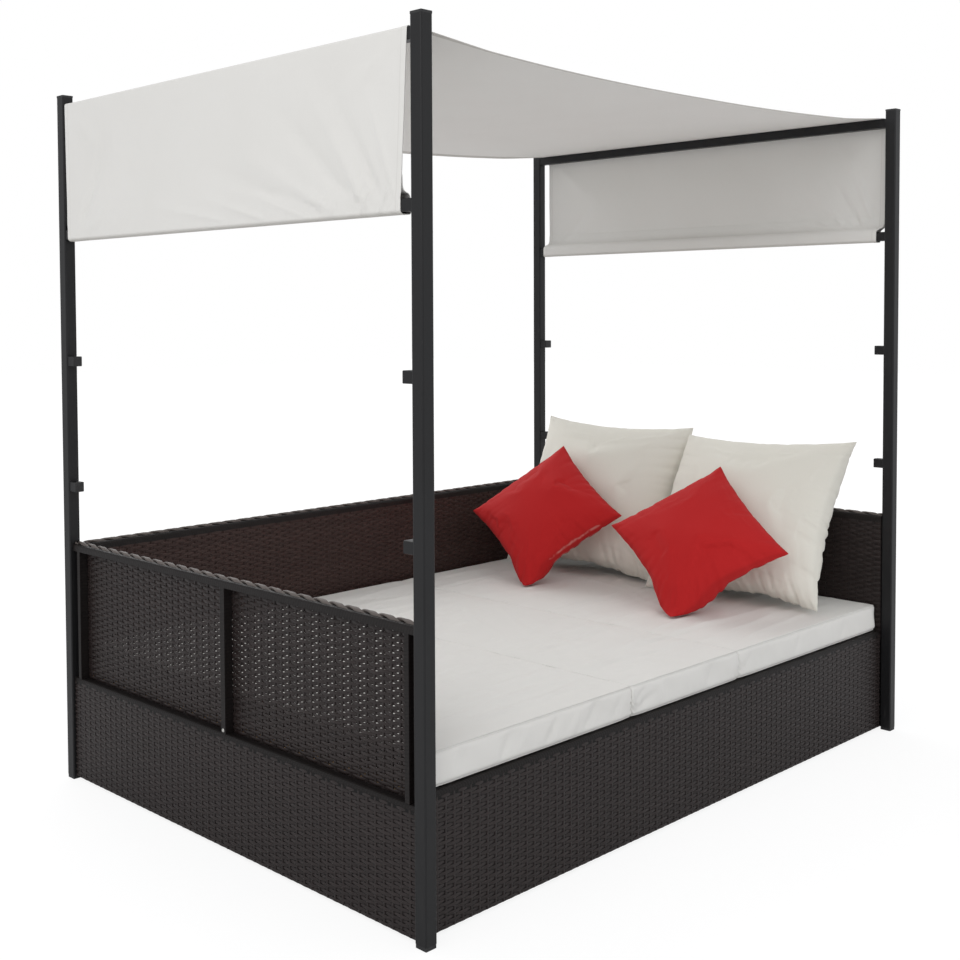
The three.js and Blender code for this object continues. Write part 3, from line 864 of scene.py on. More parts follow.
@dataclass(frozen=True)
class PanelPlane:
    """Where a woven face lies: a lower corner, the way along it, and the way that it faces."""

    corner: Vector
    along: Vector
    outward: Vector
    length: float
    height: float

    def place(self, along: np.ndarray, out: np.ndarray, up: np.ndarray) -> np.ndarray:
        """Turns distances on the panel into places.

        Args:
            along: Distances along the panel.
            out: Distances out of it.
            up: Distances up it.

        Returns:
            The places in the row frame.
        """
        return (
            np.array(self.corner)
            + along[..., None] * np.array(self.along)
            + out[..., None] * np.array(self.outward)
            + up[..., None] * np.array((0.0, 0.0, 1.0))
        )


@dataclass(frozen=True)
class Weave:
    """How the strands of a woven face are shaped, and how they pass its uprights."""

    #: The strand's section as (up, out) shares of its width and thickness.
    section_shares: tuple[tuple[float, float], ...]
    width: float
    #: How far a strand swings out and in.
    swing: float
    strand_lift: float = 0.0
    strand_margin: float = 0.0005
    upright_lift: float = 0.0
    upright_margin: float = 0.004
    #: How deep the holes beside the uprights cut into the strands.
    hole: float = 0.0
    closed: bool = True


LENS_SHARES = ((0.5, 0.0), (0.4, -0.45), (-0.4, -0.45), (-0.5, 0.0), (-0.4, 0.45), (0.4, 0.45))
CROWN_SHARES = ((-0.5, -0.6), (-0.25, 0.4), (0.25, 0.4), (0.5, -0.6))


@dataclass
class RattanWork:
    """The woven panels: strands over the base panels, see-through sheets, wound frames."""

    sheets: dict[str, Weave] = field(
        default_factory=lambda: {
            "left": Weave(LENS_SHARES, width=0.0080, swing=0.0014, hole=0.00098),
            "right": Weave(LENS_SHARES, width=0.0090, swing=0.0014),
            "back": Weave(LENS_SHARES, width=0.0094, swing=0.0014),
        }
    )
    skin: Weave = Weave(
        CROWN_SHARES,
        width=0.0071,
        swing=0.0011,
        strand_lift=0.0007,
        strand_margin=0.001,
        upright_lift=0.0006,
        upright_margin=0.003,
        closed=False,
    )
    warp_pitch: float = 0.024
    row_pitch: float = 0.0074
    warp_width: float = 0.0072
    warp_thickness: float = 0.0016
    #: The uprights' section as (along, out) shares of their width and thickness.
    warp_shares: tuple[tuple[float, float], ...] = (
        (0.5, 0.0), (0.25, 0.5), (-0.25, 0.5), (-0.5, 0.0), (-0.25, -0.5), (0.25, -0.5)
    )
    warp_end_gap: float = 0.0005
    warp_steps: int = 12
    strand_thickness: float = 0.0012
    #: Below 1, a strand passes the uprights flatter and crosses between them more steeply.
    swing_sharpness: float = 0.8
    row_jitter: float = 0.00012
    hole_reach: float = 0.0021
    #: The selvage's section as (up, out), in metres from the sheet's lower edge.
    selvage: tuple[tuple[float, float], ...] = (
        (0.0030, -0.0016), (0.0028, -0.0026), (-0.0085, -0.0024), (-0.0085, -0.0014)
    )
    selvage_margin: float = 0.002
    selvage_steps: int = 60
    steps: int = 4
    hole_steps: int = 8
    sheet_inset: float = 0.002
    face_recess: float = 0.0012
    rim_height: float = 0.010
    bead_pitch: float = 0.098
    bead_radius: float = 0.0041
    bead_strand: tuple[float, float] = (0.0056, 0.0031)
    bead_step: float = 0.004
    bead_margin: float = 0.001
    bead_sinking: float = 0.0010
    bead_sides: int = 8
    bead_tones: tuple[float, float] = (0.55, 0.70)
    seed: int = 7

    def dress(self) -> None:
        """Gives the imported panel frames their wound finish."""
        for word, axis in (("left", "Y"), ("right", "Y"), ("back", "X"), ("front", "X")):
            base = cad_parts[f"base_panel_{word}"]
            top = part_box(base.name)[1].z
            backing = BaseBacking().material(axis, top - self.rim_height, f"base_skin_{word}")
            set_material(base, backing)
            if word != "front":
                wound = WoundRattan().material(axis, f"wound_frame_{word}")
                set_material(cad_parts[f"upper_frame_{word}"], wound)

    def _plane(self, node: str, word: str, inset: float) -> PanelPlane:
        """The outer face of a panel.

        Args:
            node: The panel's node.
            word: The way that it faces.
            inset: How far the face is moved inward.

        Returns:
            The face.
        """
        low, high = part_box(node)
        faces = {
            "left": (Vector((low.x + inset, high.y, low.z)), (0, -1, 0), (-1, 0, 0), high.y - low.y),
            "right": (Vector((high.x - inset, low.y, low.z)), (0, 1, 0), (1, 0, 0), high.y - low.y),
            "front": (Vector((low.x, low.y + inset, low.z)), (1, 0, 0), (0, -1, 0), high.x - low.x),
            "back": (Vector((high.x, high.y - inset, low.z)), (-1, 0, 0), (0, 1, 0), high.x - low.x),
        }
        corner, along, outward, length = faces[word]
        return PanelPlane(corner, Vector(along), Vector(outward), length, high.z - low.z)

    def _add_strands(self, builder: MeshBuilder, plane: PanelPlane, weave: Weave) -> None:
        """Adds the rows of flat strands that pass in front of and behind the uprights.

        Args:
            builder: Takes the mesh.
            plane: The woven face.
            weave: The strands' shape.
        """
        rng = np.random.default_rng(self.seed)
        rows = int(plane.height / self.row_pitch)
        start, end = weave.strand_margin, plane.length - weave.strand_margin
        step = self.warp_pitch / (self.hole_steps if weave.hole else self.steps)
        reach = int((end - start) / 2 / step) * step
        along = plane.length / 2 + np.arange(-reach, reach + step / 2, step)
        along = np.concatenate([[start], along, [end]])
        count = len(along)
        phase = np.pi * (along - plane.length / 2) / self.warp_pitch
        row = np.arange(rows)
        wave = np.cos(phase[None, :] + np.pi * row[:, None])
        sharpened = np.sign(wave) * np.abs(wave) ** self.swing_sharpness
        out = weave.strand_lift + weave.swing * sharpened
        up = (row[:, None] + 0.5) * plane.height / rows
        up = up + rng.normal(0, self.row_jitter, (rows, 1)) + 0 * out
        section = np.array(weave.section_shares)
        rise = section[:, 0] * weave.width
        column = np.round(2 * (along - plane.length / 2) / self.warp_pitch - 0.5)
        aside = (along - plane.length / 2) - (column + 0.5) * self.warp_pitch / 2
        notch = weave.hole * np.exp(-((aside / self.hole_reach) ** 2))[None, :, None]
        upper = (column[None, :, None] + row[:, None, None]) % 2 == 0
        rise = rise - notch * np.where(upper, rise > 0, -1.0 * (rise < 0))
        thick = section[:, 1] * self.strand_thickness
        shape = (rows, count, len(section))
        grid = plane.place(
            np.broadcast_to(along[None, :, None], shape),
            out[..., None] + thick,
            up[..., None] + np.broadcast_to(rise, shape),
        )
        tone = rng.uniform(0.25, 0.75, (rows, 1, 1)) + rng.normal(0, 0.08, (rows, count, 1))
        tone = np.clip(np.broadcast_to(tone, shape), 0, 1)
        builder.add_tubes(grid, weave.closed, tone=tone.ravel())

    def _add_uprights(self, builder: MeshBuilder, plane: PanelPlane, weave: Weave) -> None:
        """Adds the upright strips that the strands pass round.

        Args:
            builder: Takes the mesh.
            plane: The woven face.
            weave: How far out the uprights stand and how far from the face's ends.
        """
        rng = np.random.default_rng(self.seed + 1)
        half = int((plane.length / 2 - weave.upright_margin) / self.warp_pitch)
        along = plane.length / 2 + np.arange(-half, half + 1) * self.warp_pitch
        section = np.array(self.warp_shares)
        across = section[:, 0] * self.warp_width
        thick = section[:, 1] * self.warp_thickness
        up = np.linspace(self.warp_end_gap, plane.height - self.warp_end_gap, self.warp_steps)
        shape = (len(along), len(up), len(section))
        grid = plane.place(
            np.broadcast_to(along[:, None, None] + across, shape),
            np.broadcast_to(weave.upright_lift + thick, shape),
            np.broadcast_to(up[None, :, None], shape),
        )
        tone = np.broadcast_to(rng.uniform(0.1, 0.5, (len(along), 1, 1)), shape)
        builder.add_tubes(grid, tone=tone.ravel())

    def _add_selvage(self, builder: MeshBuilder, plane: PanelPlane) -> None:
        """Adds the flat strand that closes a sheet's bottom edge on its inner side.

        Args:
            builder: Takes the mesh.
            plane: The sheet's face.
        """
        ring = np.array(self.selvage)
        along = np.linspace(self.selvage_margin, plane.length - self.selvage_margin, self.selvage_steps)
        shape = (1, len(along), len(ring))
        grid = plane.place(
            np.broadcast_to(along[None, :, None], shape),
            np.broadcast_to(ring[:, 1], shape),
            np.broadcast_to(ring[:, 0], shape),
        )
        builder.add_tubes(grid, tone=np.full(grid.size // 3, 0.3))

    def _woven(
        self, name: str, plane: PanelPlane, weave: Weave, material: bpy.types.Material
    ) -> bpy.types.Object:
        """Builds one woven face.

        Args:
            name: The piece's name.
            plane: Where the face lies.
            weave: Its strands and uprights.
            material: Its finish.

        Returns:
            The woven face.
        """
        builder = MeshBuilder()
        self._add_strands(builder, plane, weave)
        self._add_uprights(builder, plane, weave)
        if weave.closed:
            self._add_selvage(builder, plane)
        piece = builder.build(name, material)
        return piece

    def build_sheets(self, ends: bpy.types.Material, back: bpy.types.Material) -> None:
        """Builds the open woven sheets of the two ends and the back.

        Args:
            ends: The finish of the strands at the two ends.
            back: The finish of the strands at the back, slightly redder and lighter; the extra lightness is
                painted sheen.
        """
        for word, weave in self.sheets.items():
            node = f"woven_sheet_{word}"
            plane = self._plane(node, word, self.sheet_inset)
            piece = self._woven(f"open_weave_{word}", plane, weave, back if word == "back" else ends)
            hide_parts(node)

    def build_skins(self, material: bpy.types.Material) -> None:
        """Builds the woven faces of the four base panels.

        Args:
            material: The strands' finish.
        """
        for word in ("left", "right", "front", "back"):
            whole = self._plane(f"base_panel_{word}", word, self.face_recess)
            plane = replace(whole, height=whole.height - self.rim_height)
            self._woven(f"base_weave_{word}", plane, self.skin, material)

    def _bead_rings(self, along: np.ndarray) -> np.ndarray:
        """The rings of the bead's two twisted strands.

        Args:
            along: Places along the bead.

        Returns:
            Points as (across, up) in rows of (strand, along, around).
        """
        around = np.linspace(0, 2 * math.pi, self.bead_sides, endpoint=False)
        wide, flat = self.bead_strand
        rings = []
        for turn in (0.0, math.pi):
            angle = 2 * math.pi * along / self.bead_pitch + turn
            outward = np.stack([np.cos(angle), np.sin(angle)], -1)
            tangent = np.stack([-np.sin(angle), np.cos(angle)], -1)
            rings.append(
                outward[:, None] * self.bead_radius
                + tangent[:, None] * (wide * np.cos(around))[None, :, None]
                + outward[:, None] * (flat * np.sin(around))[None, :, None]
            )
        return np.array(rings)

    def build_beads(self, material: bpy.types.Material) -> None:
        """Builds the twisted two-strand bead along the top of each upper rail.

        Args:
            material: The strands' finish.
        """
        for word in ("left", "right", "back"):
            low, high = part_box(f"upper_frame_{word}")
            middle = (low + high) / 2
            lengthwise = word == "back"
            length = (high.x - low.x) if lengthwise else (high.y - low.y)
            along = np.linspace(self.bead_margin, length - self.bead_margin, int(length / self.bead_step))
            rings = self._bead_rings(along)
            across, up = rings[..., 0], rings[..., 1] + high.z - self.bead_sinking
            run = np.broadcast_to(along[None, :, None], across.shape)
            if lengthwise:
                grid = np.stack([low.x + run, middle.y + across, up], -1)
            else:
                grid = np.stack([middle.x + across, high.y - run, up], -1)
            tone = np.broadcast_to(np.array(self.bead_tones)[:, None, None], across.shape)
            builder = MeshBuilder()
            builder.add_tubes(grid, tone=tone.ravel())
            piece = builder.build(f"rail_bead_{word}", material)


# Canopy


@dataclass
class Canopy:
    """One cloth over both crossbars, with a pocket round each hem bar."""

    #: The drops' distance from the middle, and the roof's height at the crossbars.
    face: float = 0.9487
    roof: float = 1.7262
    #: How far the roof sags, and the radii of its bends and of the hems' bottoms.
    sag: float = 0.029
    bend: float = 0.0045
    hem_round: float = 0.0080
    #: The hem bars: side, distance from the middle, and height of the top.
    bar_side: float = 0.0258
    bar_middle: float = 0.935
    bar_top: float = 1.410
    hem_bottom: float = 1.3818
    stitch_height: float = 1.4240
    half_width: float = 0.6120
    #: How far the drops' side edges lie in, by the signs of X and Y: just under the roof, just
    #: above the hem, and at the hem.
    insets: dict[tuple[int, int], tuple[float, float, float]] = field(
        default_factory=lambda: {
            (-1, -1): (0.000, 0.018, 0.020),
            (-1, 1): (0.000, 0.005, 0.006),
            (1, -1): (0.000, 0.004, 0.016),
            (1, 1): (0.012, 0.014, 0.008),
        }
    )
    thickness: float = 0.0009
    #: How far the pocket's inner side stands off the bar.
    pocket_gap: float = 0.0011
    #: Cloth farther out than this, and lower than `drop_top`, hangs in a drop.
    drop_side: float = 0.90
    drop_top: float = 1.70
    drop_start: float = 1.725
    fold: float = 0.0030
    ripple_depth: float = 0.0030
    pucker_depth: float = 0.0048
    left_strength: float = 1.25
    right_strength: float = 1.7
    #: Over how much height above the bar the cloth can't move inward.
    held_height: float = 0.045
    roof_ripple: float = 0.005
    edge_sags: tuple[tuple[float, float], ...] = ((0.004, 0.05), (0.003, 0.010))
    side_hem: float = 0.016
    #: The rows along the section lie closer below `hem_end` and above `bend_start`.
    hem_end: float = 1.46
    bend_start: float = 1.71
    fine_step: float = 0.0022
    coarse_step: float = 0.011
    across_steps: int = 230
    #: Below 1, the columns are less crowded at the side edges.
    crowding: float = 0.985
    left_creases: tuple[Crease, ...] = (
        Crease((-0.585, 1.405), (-0.490, 1.640), 0.0034, 0.014),
        Crease((-0.545, 1.400), (-0.390, 1.640), -0.0075, 0.022),
        Crease((-0.500, 1.400), (-0.300, 1.680), 0.0038, 0.020),
        Crease((-0.470, 1.395), (-0.200, 1.640), -0.0085, 0.030),
        Crease((-0.400, 1.400), (-0.060, 1.560), 0.0036, 0.022),
        Crease((-0.360, 1.395), (0.060, 1.530), -0.0055, 0.022),
        Crease((-0.310, 1.395), (-0.080, 1.470), 0.0030, 0.012),
        Crease((-0.180, 1.395), (0.060, 1.460), 0.0028, 0.012),
        Crease((-0.040, 1.400), (0.260, 1.450), 0.0024, 0.013),
        Crease((0.545, 1.410), (0.420, 1.640), -0.0080, 0.026),
        Crease((0.500, 1.400), (0.330, 1.520), 0.0030, 0.020),
        Crease((0.580, 1.700), (0.400, 1.560), 0.0026, 0.030),
        Crease((-0.560, 1.690), (-0.330, 1.560), 0.0030, 0.026),
    )
    right_creases: tuple[Crease, ...] = (
        Crease((-0.590, 1.405), (-0.500, 1.640), -0.0048, 0.014),
        Crease((-0.555, 1.400), (-0.430, 1.600), 0.0048, 0.014),
        Crease((-0.515, 1.400), (-0.360, 1.570), -0.0040, 0.015),
        Crease((-0.470, 1.400), (-0.270, 1.520), 0.0034, 0.014),
        Crease((-0.400, 1.400), (-0.180, 1.480), -0.0024, 0.014),
        Crease((0.560, 1.410), (0.400, 1.560), 0.0030, 0.020),
        Crease((0.570, 1.700), (0.380, 1.540), -0.0028, 0.026),
    )

    def _section(self) -> np.ndarray:
        """Draws the cloth's section.

        Returns:
            Its points as (x, z), from one inner hem edge to the other.
        """
        half = self.bar_side / 2 + self.pocket_gap
        inner = self.bar_middle - half
        low, face, turn = self.hem_bottom, self.face, self.hem_round
        inside = self.bar_middle - self.bar_side / 2
        roof = [
            (inside * share, self.roof - self.sag * (1 - share * share))
            for share in np.linspace(0, 1, 60)
        ]
        corner = [
            (face - self.bend * (1 - math.sin(a)), self.roof - self.bend * (1 - math.cos(a)))
            for a in np.linspace(0, math.pi / 2, 6)
        ]
        drop = [(face, z) for z in np.linspace(self.roof - 0.012, low + turn, 40)]
        under = [
            (face - turn * (1 - math.cos(a)), low + turn * (1 - math.sin(a)))
            for a in np.linspace(0, math.pi / 2, 6)[1:]
        ]
        back = [
            (inner + 0.004, low),
            (inner + 0.0008, low + 0.0012),
        ]
        over_bar = [
            (inner, low + 0.005),
            (inner, self.bar_top + 0.0085),
            (face - 0.004, self.stitch_height),
            (face - 0.0013, self.stitch_height + 0.030),
        ]
        half_path = roof + corner + drop + under + back + self._rounded(over_bar)
        path = [(-x, z) for x, z in reversed(half_path[1:])] + half_path
        return self._even(np.array(path))

    @staticmethod
    def _rounded(path: list[tuple[float, float]], rounds: int = 3) -> list[tuple[float, float]]:
        """Rounds a path by cutting its corners; both ends stay.

        Args:
            path: The path's points.
            rounds: How often the corners are cut.

        Returns:
            The rounded path.
        """
        places = np.array(path)
        for _ in range(rounds):
            cuts = [places[:-1] * (1 - share) + places[1:] * share for share in (0.25, 0.75)]
            places = np.concatenate([places[:1], np.stack(cuts, 1).reshape(-1, 2), places[-1:]])
        return [(float(x), float(z)) for x, z in places]

    def _even(self, path: np.ndarray) -> np.ndarray:
        """Spaces points along a path, closer at the roof's bends and at the hems.

        Args:
            path: The path.

        Returns:
            The spaced points.
        """
        steps = np.linalg.norm(np.diff(path, axis=0), axis=1)
        run = np.concatenate([[0], np.cumsum(steps)])
        places = [0.0]
        while places[-1] < run[-1]:
            here = places[-1]
            x = np.interp(here, run, path[:, 0])
            z = np.interp(here, run, path[:, 1])
            at_end = z < self.hem_end or z > self.bend_start
            tight = abs(x) > self.drop_side and at_end
            places.append(here + (self.fine_step if tight else self.coarse_step))
        places[-1] = run[-1]
        return np.stack([np.interp(places, run, path[:, i]) for i in (0, 1)], -1)

    def _laid_out(self) -> tuple[np.ndarray, np.ndarray]:
        """Lays the cloth out before its folds.

        Returns:
            The points as (along the section, across, xyz), and their places across from -1 to 1.
        """
        section = self._section()
        across = np.sin(np.linspace(-1, 1, self.across_steps) * math.pi / 2 * self.crowding)
        across = across / across[-1]
        shape = (len(section), len(across))
        x, z = (np.broadcast_to(column[:, None], shape) for column in section.T)
        share = np.broadcast_to(across[None], shape)
        fallen = np.clip((self.drop_start - z) / (self.drop_start - self.stitch_height), 0, 1)
        dropped = np.where(np.abs(x) > self.drop_side, fallen, 0)
        at_hem = smoothstep(-z, -self.bar_top - 0.014, -self.bar_top - 0.002)
        inset = np.zeros(shape)
        for (side, end), (first, last, hem) in self.insets.items():
            here = (np.sign(x) == side) & (np.sign(share) == end)
            depth = smoothstep(dropped, 0, 0.1) * first + dropped * (last - first)
            inset = np.where(here, depth + at_hem * (hem - last), inset)
        y = share * (self.half_width - inset * np.abs(share) ** 3)
        return np.stack([x, y, z], -1), share

    def _puckers(self, points: np.ndarray, on_drop: np.ndarray) -> np.ndarray:
        """Height of the short tucks above the hem's stitches.

        Args:
            points: The cloth's points.
            on_drop: Which of them hang in a drop.

        Returns:
            One number for each point.
        """
        y, z = points[:, 1], points[:, 2]
        near_hem = np.exp(-np.maximum(z - self.stitch_height, 0) / 0.016) * on_drop
        places = np.stack([y + z * 0.55, 0 * y, np.sign(points[:, 0])], -1)
        tucks = np.maximum(0, 1 - 3 * np.abs(ripples(places, (30.0, 1.0, 1.0), 9.1, 2)))
        return tucks * (0.15 + 0.85 * smoothstep(-y, 0.22, 0.42)) * near_hem

    def _pushed(self, points: np.ndarray, share: np.ndarray) -> np.ndarray:
        """How far the folds, ripples, tucks and creases push the drops outward.

        Args:
            points: The cloth's points.
            share: Their places across.

        Returns:
            One length for each point; inward is positive.
        """
        side, y, z = np.sign(points[:, 0]), points[:, 1], points[:, 2]
        on_drop = (np.abs(points[:, 0]) > self.drop_side) & (z < self.drop_top)
        outside = smoothstep(np.abs(points[:, 0]), self.face - 0.010, self.face - 0.0014)
        free = np.clip((z - self.stitch_height) / (self.drop_top - self.stitch_height), 0, 1)
        hang = np.sin(np.pi * free) * on_drop
        wave = 0.5 - 0.5 * np.cos(3 * math.pi * (share + 1))
        push = self.fold * wave * np.sin(np.pi * free) ** 2 * on_drop
        places = np.stack([y, z * 0.6, side], -1)
        push += np.abs(ripples(places, (7.0, 6.0, 1.0), 3.7, 2)) * self.ripple_depth * hang
        inside = smoothstep(self.half_width - 0.020 - np.abs(y), 0, 0.045)
        push -= self._puckers(points, on_drop) * self.pucker_depth * outside * inside
        for end, creases, strength in (
            (-1, self.left_creases, self.left_strength),
            (1, self.right_creases, self.right_strength),
        ):
            lift = crease_sum(creases, y, z) * (side == end) * outside * strength
            push -= lift * inside * smoothstep(-z, -self.drop_top, -self.drop_top + 0.05)
        return push

    def _roof_sunk(self, points: np.ndarray, share: np.ndarray) -> np.ndarray:
        """How far the roof lies below its plain section.

        Args:
            points: The cloth's points.
            share: Their places across.

        Returns:
            One length for each point.
        """
        out = np.abs(points[:, 0])
        calm = (out < 0.915) * (points[:, 2] > 1.5) * np.clip((0.92 - out) / 0.2, 0, 1)
        soft = np.abs(ripples(points * (1.0, 1.0, 0.0), (1.2, 2.0, 1.0), 5.2, 1)) * self.roof_ripple
        edge = 1 - np.abs(share)
        return (soft + sum(depth * np.exp(-edge / reach) for depth, reach in self.edge_sags)) * calm

    def build(self) -> bpy.types.Object:
        """Builds the sheet with its folds, hems and thickness.

        Returns:
            The canopy.
        """
        grid, share = self._laid_out()
        points = grid.reshape(-1, 3)
        push = self._pushed(points, share.ravel())
        held = 1 - smoothstep(points[:, 2], self.bar_top, self.bar_top + self.held_height)
        points[:, 0] -= np.sign(points[:, 0]) * np.where(push > 0, push * (1 - held), push)
        points[:, 2] -= self._roof_sunk(points, share.ravel())
        return self._sheet_from(points.reshape(grid.shape), share)

    def _seam_marks(self, grid: np.ndarray, distance: np.ndarray) -> np.ndarray:
        """Marks the side hems' stitches, and the painted shade on the hem bottoms and along the roof's
        edges.

        Args:
            grid: The cloth's points.
            distance: How far each lies from the side edge.

        Returns:
            One mark for each point.
        """
        stitches = 0.4 * np.exp(-(((distance - self.side_hem + 0.002) / 0.0009) ** 2))
        out = np.abs(grid[..., 0])
        # Painted shade: the hem bottoms, which face down, take the dark stitch colour.
        under = smoothstep(-grid[..., 2], -self.hem_bottom - 0.0085, -self.hem_bottom)
        # Painted shade: a darker band along the roof's side edges.
        painted_roof_edge_shade = smoothstep(-distance, -0.020, -0.014)
        marks = np.maximum(stitches, under * (out > self.drop_side))
        return np.maximum(marks, painted_roof_edge_shade * (out < self.drop_side))

    @staticmethod
    def _shell_quads(ids: np.ndarray) -> np.ndarray:
        """Joins a grid and its copy into a closed shell.

        Args:
            ids: The grid's point numbers; the copy's numbers follow them.

        Returns:
            The quads.
        """
        other = ids + ids.size
        quads = [
            np.stack([ids[:-1, :-1], ids[:-1, 1:], ids[1:, 1:], ids[1:, :-1]], -1).reshape(-1, 4),
            np.stack([other[:-1, :-1], other[1:, :-1], other[1:, 1:], other[:-1, 1:]], -1).reshape(-1, 4),
        ]
        for edge, flip in ((ids[:, 0], False), (ids[:, -1], True), (ids[0], True), (ids[-1], False)):
            a, b = edge[:-1], edge[1:]
            ring = [a, b, b + ids.size, a + ids.size]
            quads.append(np.stack(ring[::-1] if flip else ring, -1))
        return np.concatenate(quads)

    def _sheet_from(self, grid: np.ndarray, share: np.ndarray) -> bpy.types.Object:
        """Gives the cloth its thickness, seams and finish.

        Args:
            grid: The cloth's points.
            share: Their places across.

        Returns:
            The canopy.
        """
        rows, columns = share.shape
        along, sideways = np.gradient(grid, axis=0), np.gradient(grid, axis=1)
        normal = np.cross(sideways, along, axis=-1)
        normal /= np.linalg.norm(normal, axis=-1, keepdims=True) + 1e-12
        distance = (1 - np.abs(share)) * self.half_width
        swell = self.thickness / 2 * (1 + 0.8 * (distance < self.side_hem)[..., None])
        faces = (grid + normal * swell, grid - normal * swell)
        both = np.concatenate([face.reshape(-1, 3) for face in faces])
        marks = np.tile(self._seam_marks(grid, distance).ravel(), 2)
        builder = MeshBuilder()
        builder.add(both, self._shell_quads(np.arange(rows * columns).reshape(rows, columns)), seam_and_shade=marks)
        # The canopy's stitch colour is dark because it also paints the shade on the hem bottoms and the
        # roof's edges.
        cloth = Cloth(
            "canopy_cloth", (0.750, 0.737, 0.708), (0.690, 0.675, 0.640), stitch=(0.36, 0.34, 0.30)
        )
        piece = builder.build("canopy_sheet", cloth.material())
        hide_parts("canopy")
        return piece


# Mattress


@dataclass
class Mattress:
    """Three boxed foam sections in one loose cloth cover each."""

    edge_radius: float = 0.013
    joint_radius: float = 0.0028
    joint_closing: float = 0.0003
    cell: float = 0.009
    crown: float = 0.0055
    #: How far the middle of the upright sides stands out past their edges.
    side_bulge: float = 0.004
    front_gap: float = 0.0005
    corner_draw: float = 0.004
    #: Long wrinkles of the top as (waves per metre, depth), and what is taken off their height.
    top_wrinkles: tuple[tuple[tuple[float, float, float], float], ...] = (
        ((2.6, 8.0, 1.0), 0.00588), ((5.0, 17.0, 1.0), 0.00392)
    )
    wrinkle_level: float = 0.38
    cross_wrinkle: float = 0.0022
    hollow: float = 0.0022
    side_fold: float = 0.012
    crease_strength: float = 1.3
    gather_reach: float = 0.030
    #: Depth of the gathers at a joint, and at the left end of the middle section.
    gather_depth: float = 0.0065
    deep_gather: float = 0.0110
    joint_dip: float = 0.0028
    #: How far the two seams lie in from the top and the bottom, and half a seam's width.
    seam_insets: tuple[float, float] = (0.0035, 0.0055)
    seam_width: float = 0.0011
    #: Folds on the front faces, as (x, z) strokes.
    front_creases: tuple[Crease, ...] = (
        Crease((-0.830, 0.290), (-0.800, 0.390), -0.0040, 0.018),
        Crease((-0.700, 0.290), (-0.640, 0.380), -0.0050, 0.016),
        Crease((-0.640, 0.290), (-0.600, 0.370), 0.0040, 0.012),
        Crease((-0.560, 0.290), (-0.480, 0.390), -0.0060, 0.014),
        Crease((-0.480, 0.290), (-0.410, 0.380), 0.0040, 0.012),
        Crease((-0.430, 0.290), (-0.340, 0.390), -0.0060, 0.014),
        Crease((-0.330, 0.290), (-0.275, 0.370), -0.0045, 0.012),
        Crease((-0.240, 0.300), (-0.150, 0.330), -0.0060, 0.009),
        Crease((-0.240, 0.315), (-0.170, 0.365), -0.0045, 0.009),
        Crease((0.050, 0.290), (0.090, 0.380), -0.0040, 0.014),
        Crease((0.205, 0.300), (0.260, 0.350), -0.0040, 0.010),
        Crease((0.450, 0.290), (0.500, 0.380), -0.0040, 0.018),
        Crease((0.700, 0.290), (0.740, 0.380), -0.0040, 0.018),
    )

    def _lattice(self, size: Vector) -> tuple[np.ndarray, np.ndarray]:
        """A closed box lattice with finer cells toward its edges.

        Args:
            size: The box's size.

        Returns:
            Points from -1 to 1 on each axis, and quads.
        """
        lines = []
        for reach in size:
            margin = self.edge_radius * 1.2 / (reach / 2)
            fine = 1 - margin * (1 - np.linspace(0, 1, 7)) ** 1.8
            middle = np.linspace(-1 + margin, 1 - margin, max(4, int(reach / self.cell)))
            lines.append(np.concatenate([-fine[::-1], middle[1:-1], fine]))
        index: dict[tuple[int, int, int], int] = {}
        points: list[tuple[float, float, float]] = []
        quads: list[list[int]] = []

        def corner(key: tuple[int, int, int]) -> int:
            """Numbers a lattice point when it is first asked for.

            Args:
                key: Its place in the lattice.

            Returns:
                Its number.
            """
            if key not in index:
                index[key] = len(points)
                points.append(tuple(lines[axis][key[axis]] for axis in range(3)))
            return index[key]

        for fixed in range(3):
            first, second = (fixed + 1) % 3, (fixed + 2) % 3
            for end in (0, len(lines[fixed]) - 1):
                for i in range(len(lines[first]) - 1):
                    for j in range(len(lines[second]) - 1):
                        quad = []
                        for a, b in ((0, 0), (1, 0), (1, 1), (0, 1)):
                            key = [0, 0, 0]
                            key[fixed], key[first], key[second] = end, i + a, j + b
                            quad.append(corner(tuple(key)))
                        quads.append(quad if end else quad[::-1])
        return np.array(points), np.array(quads)

    def _box(self, unit: np.ndarray, half: np.ndarray, radii: tuple[float, float]) -> np.ndarray:
        """A box with rounded long edges and its own rounding at each end.

        Args:
            unit: Lattice points from -1 to 1.
            half: Half the box's size.
            radii: The rounding at the left and the right end.

        Returns:
            The points around the box's middle.
        """
        u = unit[:, 0]
        radius = np.where(u < 0, *radii)
        depth = np.clip((np.abs(u) * half[0] - half[0] + radius) / radius, 0, 1)
        inset = radius * (1 - np.sqrt(1 - depth**2))
        reach = half[None, 1:] - inset[:, None]
        flat = unit[:, 1:] * reach
        inner = np.clip(flat, self.edge_radius - reach, reach - self.edge_radius)
        out = flat - inner
        length = np.linalg.norm(out, axis=1, keepdims=True)
        section = inner + out / np.maximum(length, 1e-9) * np.minimum(length, self.edge_radius)
        return np.column_stack([u * half[0], section])

